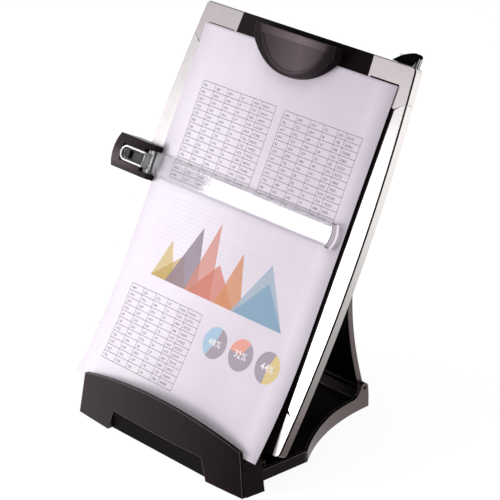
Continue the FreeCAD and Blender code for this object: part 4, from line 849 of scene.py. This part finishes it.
def frame_path(inset):
    """Right-hand outline in (across, rise), drawn in by inset. The side is an arc of radius R about
    (c, half the length); a corner arc of radius r has its middle at distance R - r from that point."""
    half, middle = EDGE_HALF - inset, EDGE_LENGTH / 2
    rise = middle - inset
    radius = (rise ** 2 + EDGE_BOW ** 2) / (2 * EDGE_BOW)
    centre = half + EDGE_BOW - radius
    small = EDGE_ROUND - inset
    corner_rise = rise - small
    corner = centre + math.sqrt((radius - small) ** 2 - corner_rise ** 2)
    lean = math.atan2(corner_rise, corner - centre)
    turn = np.linspace(-np.pi / 2, -lean, 9)[:-1]
    side = np.linspace(-lean, lean, 61)
    low = np.stack([corner + small * np.cos(turn), -corner_rise + small * np.sin(turn)], axis=1)
    arc = radius * np.stack([np.cos(side), np.sin(side)], axis=1) + [centre, 0.0]
    high = low[::-1] * [1.0, -1.0]
    ends = np.array([[LOW_END, -rise], [HIGH_END, rise]])
    return np.vstack([ends[:1], low, arc, high, ends[1:]]) + [0.0, middle]


def groove_filler(side):
    """Rectangle from the groove's floor outwards, carried along the path; side is 1 or -1."""
    lines = []
    for inset, out in ((0.55, -0.68), (0.55, -1.52), (1.0, -1.52), (1.0, -0.68)):
        path = frame_path(inset) * MM
        lines.append(on_panel(side * path[:, 0], path[:, 1], out * MM))
    points = np.stack(lines, axis=1)
    sides, first, last = tube_faces(len(points), 4)
    faces = sides + [first, last[::-1]]
    return points, faces if side > 0 else [face[::-1] for face in faces]


# The black strip is a painted shadow in the groove on both sides of the frame.
filler_points, filler_faces = join([groove_filler(1), groove_filler(-1)])
add_piece("groove_shadow_strip", filler_points, filler_faces, [matt_black], "panel", smooth=False)
print("filler faces:", len(filler_faces))

# %% [markdown]
# ## Dark lines in the seams
#
# A painted shadow marks the seam between a corner cap and its rail: a dark line, widest at the inner
# edge, that tapers to a tip. A narrow painted shadow also follows the top edge of the sheets where they
# lie on the caps.

# %% Shadows in the seams
def seam_shadow(side, rise, slope, half, tip):
    """Painted shadow: a tapered dark line from a strip's inner edge, where it is widest, along the seam to
    its tip.
    """
    across = np.array([108.55, 108.55, tip])
    height = rise + slope * (across - 108.6) + np.array([-half, half, 0.0])
    points = on_panel(side * across * MM, height * MM, 0.03 * MM)
    return points, [(0, 2, 1) if side > 0 else (0, 1, 2)]


def sheet_edge_shadow(low, high, wide):
    """Painted shadow: a narrow dark line on a corner cap, along the top edge of the sheets that lie on it."""
    across, height = np.meshgrid(np.array([low, high]) * MM, PAPER_TOP + np.array([-0.6, wide]) * MM)
    return on_panel(across, height, 0.04 * MM), [(0, 1, 3, 2)]


seams = [sheet_edge_shadow(75.5, 105.0, 1.3), sheet_edge_shadow(-105.0, -75.5, 0.7)]
seams += [seam_shadow(side, *shape) for side in (1, -1)
          for shape in ((269.3, 0.68, 0.55, 112.6), (34.4, -0.68, 1.5, 114.0))]
seam_points, seam_faces = join(seams)
add_piece("seam_shadows", seam_points, seam_faces, [fin_black], "panel", smooth=False)
print("seams:", len(seams))

# %% [markdown]
# ## The clip's spring
#
# A torsion spring is a wire wound into a helix, with two straight legs that press on the lever and on
# the housing. The wire is a circle carried along that path.

# %% Coil spring
def tube(path, radius, axis, sides=8):
    """Circle of a radius carried along a path; axis gives the first side direction."""
    tangent = np.gradient(path, axis=0)
    tangent /= np.linalg.norm(tangent, axis=1, keepdims=True)
    side = np.cross(tangent, axis)
    side /= np.linalg.norm(side, axis=1, keepdims=True)
    up = np.cross(side, tangent)
    angle = 2 * np.pi * np.arange(sides) / sides
    ring = np.cos(angle)[None, :, None] * side[:, None] + np.sin(angle)[None, :, None] * up[:, None]
    points = path[:, None] + radius * ring
    wall, first, last = tube_faces(len(path), sides)
    return points, wall + [first, last[::-1]]


def clip_spring_path(turns=9, radius=2.2 * MM, leg=6.0 * MM):
    """Helix about the clip's pin: angle runs evenly, and x runs from one end to the other."""
    low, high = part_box("clip_spring")
    centre = (np.array(low) + np.array(high)) / 2
    angle = np.linspace(0.0, 2 * np.pi * turns, 28 * turns)
    across = np.linspace(low[0] + 1.0 * MM, high[0] - 1.0 * MM, len(angle))
    coil = (centre + (across - centre[0])[:, None] * ACROSS
            + radius * np.cos(angle)[:, None] * OUT + radius * np.sin(angle)[:, None] * SLOPE)
    reach = np.linspace(leg, 0.3 * MM, 5)[:, None]
    return np.vstack([coil[0] - reach * SLOPE, coil, coil[-1] - reach[::-1] * SLOPE])


spring_points, spring_faces = tube(clip_spring_path(), 0.45 * MM, ACROSS + 0.013 * OUT)
spring = add_piece("clip_coil_spring", spring_points, spring_faces, [steel], "panel")
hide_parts("clip_spring")
print("spring faces:", len(spring_faces))

# %% [markdown]
# ## Edges of the clear guide
#
# Clear plastic gathers light and lets it out at its edges, so the rim of the press tongue and the
# outer edge of the free end look white. Both rims are beads in a near-white paint, a painted highlight
# for that light: a small circle carried along the outline.
# Between them lies the thumb grip, a strip of fine ribs whose height is a row of half sine waves. Its
# grey is a painted reflection of the clear ribs; the valleys and the part towards the free end carry
# painted shade.

# %% Painted highlight rims and the ribbed grip
GUIDE_RISE = 166.6 * MM
TONGUE_HALF, TONGUE_END, TONGUE_TOP = 6.3, -139.2, 13.6
BAND_HALF, BAND_LEFT, BAND_RIGHT, BAND_TOP = 9.5, 94.2, 100.4, 5.9
WINDOW_LEFT, WINDOW_LONG, WINDOW_HALF, WINDOW_ROUND, WINDOW_TOP = -135.6, 16.6, 3.3, 3.2, 11.86
BLOCK_LEFT, BLOCK_RIGHT = -130.9, -125.6


def painted_edge_light():
    """Painted highlight for a lit edge: a bright paint, soft, and slightly uneven along its length."""
    material, tree, shader = new_material("painted_clear_edge_highlight")
    wander = noise(tree, 260.0, 4.0)
    tint(tree, wander, (0.82, 0.80, 0.83), (0.97, 0.96, 0.98), shader.inputs["Base Color"])
    shader.inputs["Roughness"].default_value = 0.18
    shader.inputs["Transmission Weight"].default_value = 0.10
    shader.inputs["IOR"].default_value = 1.49
    return material


painted_rim_light = painted_edge_light()
# The grip's tones stand for light on clear plastic: a painted reflection on the ribs, painted shade in the
# valleys and towards the free end.
grip_grey = moulded("ribbed_grip", (0.56, 0.49, 0.56), (0.63, 0.56, 0.63), 0.35, 900.0, 0.002 * MM,
                    edge=0.1 * MM)
end_shade = moulded("clear_end_shade", (0.68, 0.61, 0.69), (0.75, 0.68, 0.76), 0.5, 1200.0, 0.004 * MM)
grip_valley = moulded("grip_valleys", (0.36, 0.30, 0.37), (0.43, 0.37, 0.44), 0.4, 900.0, 0.002 * MM,
                      edge=0.1 * MM)
grip_dark = moulded("grip_shadow_line", (0.012, 0.008, 0.016), (0.020, 0.014, 0.026), 0.4, 900.0,
                    0.002 * MM, edge=0.1 * MM, specular=0.2)
window_dark = moulded("tongue_window", (0.020, 0.015, 0.020), (0.032, 0.025, 0.032), 0.25, 900.0,
                      0.002 * MM, specular=0.3)


def tongue_path():
    """Along one side of the tongue, round its end by a half circle, and back."""
    reach, middle = TONGUE_HALF - 0.8, TONGUE_END + TONGUE_HALF
    turn = np.linspace(np.pi / 2, 3 * np.pi / 2, 25)
    round_end = np.stack([middle + reach * np.cos(turn), reach * np.sin(turn)], axis=1)
    straight = np.linspace(-111.0, middle, 9)[:-1]
    upper = np.stack([straight, np.full(8, reach)], axis=1)
    lower = np.stack([straight[::-1], np.full(8, -reach)], axis=1)
    return np.vstack([upper, round_end, lower])


def bowed(share, rise):
    """Across the grip at a share of its width: both its sides bulge by a parabola of the height."""
    bulge = 1.0 - (rise / BAND_HALF) ** 2
    left, right = BAND_LEFT + 1.8 * bulge, BAND_RIGHT + 3.0 * bulge
    return left + share * (right - left)


def band_sheet(share_ends, rise_ends, lift, ribs, across_count, along_count):
    """Grid over part of the grip; lift plus 0.35 |sin| gives its height, ribs counts the waves."""
    share = np.linspace(*share_ends, across_count)
    rise = np.linspace(*rise_ends, along_count)
    grid_share, grid_rise = np.meshgrid(share, rise)
    local = (grid_share - share_ends[0]) / (share_ends[1] - share_ends[0])
    wave = 0.35 * np.abs(np.sin(np.pi * ribs * local)) if ribs else 0.0 * local
    points = on_panel(bowed(grid_share, grid_rise) * MM, GUIDE_RISE + grid_rise * MM,
                      (BAND_TOP + lift + wave) * MM)
    return points, grid_faces(along_count, across_count)


flat_path = tongue_path()
bead_path = on_panel(flat_path[:, 0] * MM, GUIDE_RISE + flat_path[:, 1] * MM, (TONGUE_TOP - 0.2) * MM)
end_rise = np.linspace(-8.9, 8.9, 33)
arc_path = on_panel(bowed(0.90, end_rise) * MM, GUIDE_RISE + end_rise * MM, BAND_TOP * MM)
rim_points, rim_faces = join([tube(bead_path, 0.8 * MM, OUT), tube(arc_path, 0.3 * MM, OUT)])
add_piece("guide_highlight_rims", rim_points, rim_faces, [painted_rim_light], "guide")

end_face_rise, end_face_out = np.meshgrid(np.linspace(-BAND_HALF, BAND_HALF, 33),
                                          np.linspace(2.0, BAND_TOP, 5))
end_face = on_panel((bowed(1.0, end_face_rise) + 0.04) * MM, GUIDE_RISE + end_face_rise * MM,
                    end_face_out * MM)
parts = [(band_sheet((0.07, 0.62), (-8.9, 8.9), 0.05, 5, 61, 25), 0),
         (band_sheet((0.0, 0.62), (-9.45, -8.3), 0.30, 0, 9, 3), 1),
         (band_sheet((0.0, 0.62), (8.7, 9.45), 0.30, 0, 9, 3), 1),
         (band_sheet((0.0, 0.07), (-9.45, 9.45), 0.20, 0, 3, 25), 1),
         (band_sheet((0.62, 1.0), (-9.45, 9.45), 0.03, 0, 7, 25), 2),
         ((end_face, grid_faces(5, 33)[:, ::-1]), 2)]
grip_points, grip_faces = join([part for part, kind in parts])
which = np.concatenate([np.full(len(part[1]), kind) for part, kind in parts])
column = np.arange(len(parts[0][0][1])) % 60
which[:len(column)] = np.where(column % 12 < 5, 3, 0)
add_piece("guide_ribbed_grip", grip_points, grip_faces, [grip_grey, grip_dark, end_shade, grip_valley],
          "guide", which)

# The window has straight sides and a round left end.
window_across = WINDOW_LEFT + WINDOW_LONG * np.linspace(0.0, 1.0, 37)
into_end = np.clip(WINDOW_LEFT + WINDOW_ROUND - window_across, 0.0, WINDOW_ROUND)
window_half = np.sqrt(np.clip(WINDOW_HALF ** 2 - into_end ** 2, 0.05, None))
window_grid = np.linspace(-1.0, 1.0, 5)[:, None] * window_half
window_points = on_panel(np.tile(window_across, (5, 1)) * MM, GUIDE_RISE + window_grid * MM, WINDOW_TOP * MM)
block = (window_across[:-1] > BLOCK_LEFT) & (window_across[:-1] < BLOCK_RIGHT)
add_piece("guide_tongue_window", window_points, grid_faces(5, 37), [window_dark, fin_black], "guide",
          np.tile(block.astype(int), 4))
print("rim faces:", len(rim_faces), "grip faces:", len(grip_faces))

# %% [markdown]
# ## Screws and feet
#
# A screw head is a shallow dome with a cross pressed into it. On a polar grid its height is one formula:
# the dome, less the cross, whose two bars are smooth steps of the distance from each axis.

# %% Screw heads
HEAD_SPOKES, FOOT_SPOKES = 64, 48


def frame_of(direction):
    """Two unit vectors square to a direction."""
    first = np.cross(direction, ACROSS)
    first /= np.linalg.norm(first)
    return first, np.cross(direction, first)


def screw(centre, direction, radius, height, turn):
    """Height over the seat = height * ((1 - 0.3 q^2) * rounding - 0.55 * cross), q the radius share."""
    share = np.concatenate([np.linspace(0.02, 0.92, 22), np.linspace(0.95, 1.0, 4)])
    angle = 2 * np.pi * np.arange(HEAD_SPOKES) / HEAD_SPOKES
    grid_angle, grid_share = np.meshgrid(angle, share)
    x, y = grid_share * np.cos(grid_angle + turn), grid_share * np.sin(grid_angle + turn)
    reach = 1.0 - np.clip((grid_share - 0.45) / 0.15, 0.0, 1.0)
    bar = np.maximum(np.exp(-(x / 0.13) ** 4), np.exp(-(y / 0.13) ** 4)) * reach
    rounding = np.sqrt(np.clip(1.0 - np.clip((grid_share - 0.88) / 0.12, 0.0, 1.0) ** 2, 0.0, 1.0))
    level = height * ((1.0 - 0.3 * grid_share ** 2) * rounding - 0.55 * bar)
    first, second = frame_of(direction)
    spread = grid_share[..., None] * radius * (np.cos(grid_angle)[..., None] * first
                                               + np.sin(grid_angle)[..., None] * second)
    points = centre + spread + level[..., None] * direction
    wall, first, last = tube_faces(len(share), HEAD_SPOKES)
    return points, wall + [first[::-1], last]


def head_places(name, direction):
    """Where a node's screw heads lie: its vertices furthest along a direction, grouped by screw."""
    points = corners(name)
    reach = points @ direction
    tips = points[reach > reach.max() - 0.05 * MM]
    groups = []
    while len(tips):
        near = np.linalg.norm(tips - tips[0], axis=1) < 8 * MM
        group = tips[near]
        groups.append((group.min(axis=0) + group.max(axis=0)) / 2)
        tips = tips[~near]
    return groups


def screw_set(name, body, direction, radius, height):
    """All the heads of one node as one piece, each turned its own way."""
    chance = np.random.default_rng(11)
    seats = [place - height * direction for place in head_places(name, direction)]
    points, faces = join([screw(seat, direction, radius, height, chance.uniform(0, np.pi)) for seat in seats])
    heads = add_piece(name + "_heads", points, faces, [steel], body)
    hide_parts(name)
    return len(seats)


DOWN = np.array([0.0, 0.0, -1.0])
print("cover screws:", screw_set("cover_screws", "panel", -OUT, 2.8 * MM, 1.2 * MM))
print("base screws:", screw_set("base_screws", "base", DOWN, 2.6 * MM, 1.2 * MM))

# %% Domed feet
def foot(centre, radius, height):
    """Lathed pad: its underside is 0.7 mm of q^6 above the desk, q the radius share, with fine rings."""
    share = np.concatenate([np.linspace(0.02, 1.0, 40), [1.0, 1.0, 0.98, 0.02]])
    low = 0.7 * MM * share[:40] ** 6 + 0.06 * MM * (0.5 + 0.5 * np.cos(2 * np.pi * 6 * share[:40]))
    low = np.maximum(low - low.min(), 0.0)
    level = np.concatenate([low, [0.5 * height, height - 0.02 * MM, height, height]])
    angle = 2 * np.pi * np.arange(FOOT_SPOKES) / FOOT_SPOKES
    grid_angle, grid_share = np.meshgrid(angle, share)
    spread = radius * grid_share
    points = np.stack([centre[0] + spread * np.cos(grid_angle), centre[1] + spread * np.sin(grid_angle),
                       centre[2] + np.repeat(level[:, None], FOOT_SPOKES, axis=1)], axis=-1)
    wall, first, last = tube_faces(len(share), FOOT_SPOKES)
    return points, [face[::-1] for face in wall] + [first[::-1], last]


foot_low, foot_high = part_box("rubber_feet")
foot_height = foot_high[2] - foot_low[2]
foot_places = head_places("rubber_feet", DOWN)
foot_points, foot_faces = join([foot(place, 6.0 * MM, foot_height) for place in foot_places])
feet = add_piece("domed_feet", foot_points, foot_faces, [rubber], "base")
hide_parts("rubber_feet")
print("feet:", len(foot_places))

# %% [markdown]
# ## The floor, the background and the light
#
# A plain white studio. One broad softbox stands at the front left, where the clear blade and the silver
# rails mirror it, and a small low one fills the foot of that mirror image. One hangs overhead, one lights
# the right-hand faces, and the white room fills the shadows.

# %% Floor and world
def seen_directly(tree, path):
    """1 for camera, glossy and transmission rays, else 0."""
    seen = calculate(tree, "MAXIMUM", path.outputs["Is Camera Ray"], path.outputs["Is Glossy Ray"])
    return calculate(tree, "MAXIMUM", seen, path.outputs["Is Transmission Ray"])


def studio_floor():
    """White floor that keeps the object's shadow and looks white to the camera and in reflections."""
    material, tree, shader = new_material("studio_floor")
    shader.inputs["Base Color"].default_value = (0.9, 0.9, 0.9, 1.0)
    shader.inputs["Roughness"].default_value = 0.9
    glow = add_node(tree, "ShaderNodeEmission")
    glow.inputs["Color"].default_value = (1.0, 1.0, 1.0, 1.0)
    glow.inputs["Strength"].default_value = 1.15
    mix = add_node(tree, "ShaderNodeMixShader")
    seen = seen_directly(tree, add_node(tree, "ShaderNodeLightPath"))
    tree.links.new(calculate(tree, "MULTIPLY", seen, 0.8), mix.inputs["Fac"])
    tree.links.new(shader.outputs[0], mix.inputs[1])
    tree.links.new(glow.outputs[0], mix.inputs[2])
    tree.links.new(mix.outputs[0], tree.nodes["Material Output"].inputs["Surface"])
    return material


floor_size = 4.0
floor_corners = [(x * floor_size, y * floor_size, 0.0) for x, y in ((-1, -1), (1, -1), (1, 1), (-1, 1))]
floor_mesh = bpy.data.meshes.new("floor")
floor_mesh.from_pydata(floor_corners, [], [(0, 1, 2, 3)])
floor_mesh.materials.append(studio_floor())
floor = bpy.data.objects.new("floor", floor_mesh)
bpy.context.scene.collection.objects.link(floor)

world = bpy.data.worlds.new("studio")
world.use_nodes = True
bpy.context.scene.world = world
world_tree = world.node_tree
background = world_tree.nodes["Background"]
background.inputs["Color"].default_value = (1.0, 1.0, 1.0, 1.0)
room_path = add_node(world_tree, "ShaderNodeLightPath")
fill = map_range(world_tree, seen_directly(world_tree, room_path), (0.0, 1.0), (0.28, 1.0))
mirrored = calculate(world_tree, "MULTIPLY_ADD", room_path.outputs["Is Glossy Ray"], -0.25, fill)
world_tree.links.new(mirrored, background.inputs["Strength"])


# %% Softboxes
def softbox(name, place, target, width, height, power):
    """A rectangular lamp that faces a point."""
    data = bpy.data.lights.new(name, "AREA")
    data.shape = "RECTANGLE"
    data.size, data.size_y, data.energy = width, height, power
    lamp = bpy.data.objects.new(name, data)
    place, target = np.array(place), np.array(target)
    toward = target - place
    lamp.location = place
    flat = math.hypot(toward[0], toward[1])
    lamp.rotation_euler = (math.atan2(flat, -toward[2]), 0.0, math.atan2(-toward[0], toward[1]))
    bpy.context.scene.collection.objects.link(lamp)


MIDDLE = (0.0, 0.0, 0.17)
softbox("front_softbox", (-0.71, -1.10, 0.33), (0.19, -0.23, 0.20), 0.70, 0.60, 9.2)
softbox("low_softbox", (-0.50, -0.80, 0.14), (-0.05, -0.03, 0.15), 0.35, 0.22, 1.6)
softbox("overhead_softbox", (0.2, -0.5, 2.2), MIDDLE, 1.6, 1.6, 11.0)
softbox("right_softbox", (2.2, -0.2, 1.1), MIDDLE, 0.8, 1.0, 9.0)
bpy.context.scene.view_settings.view_transform = "Standard"
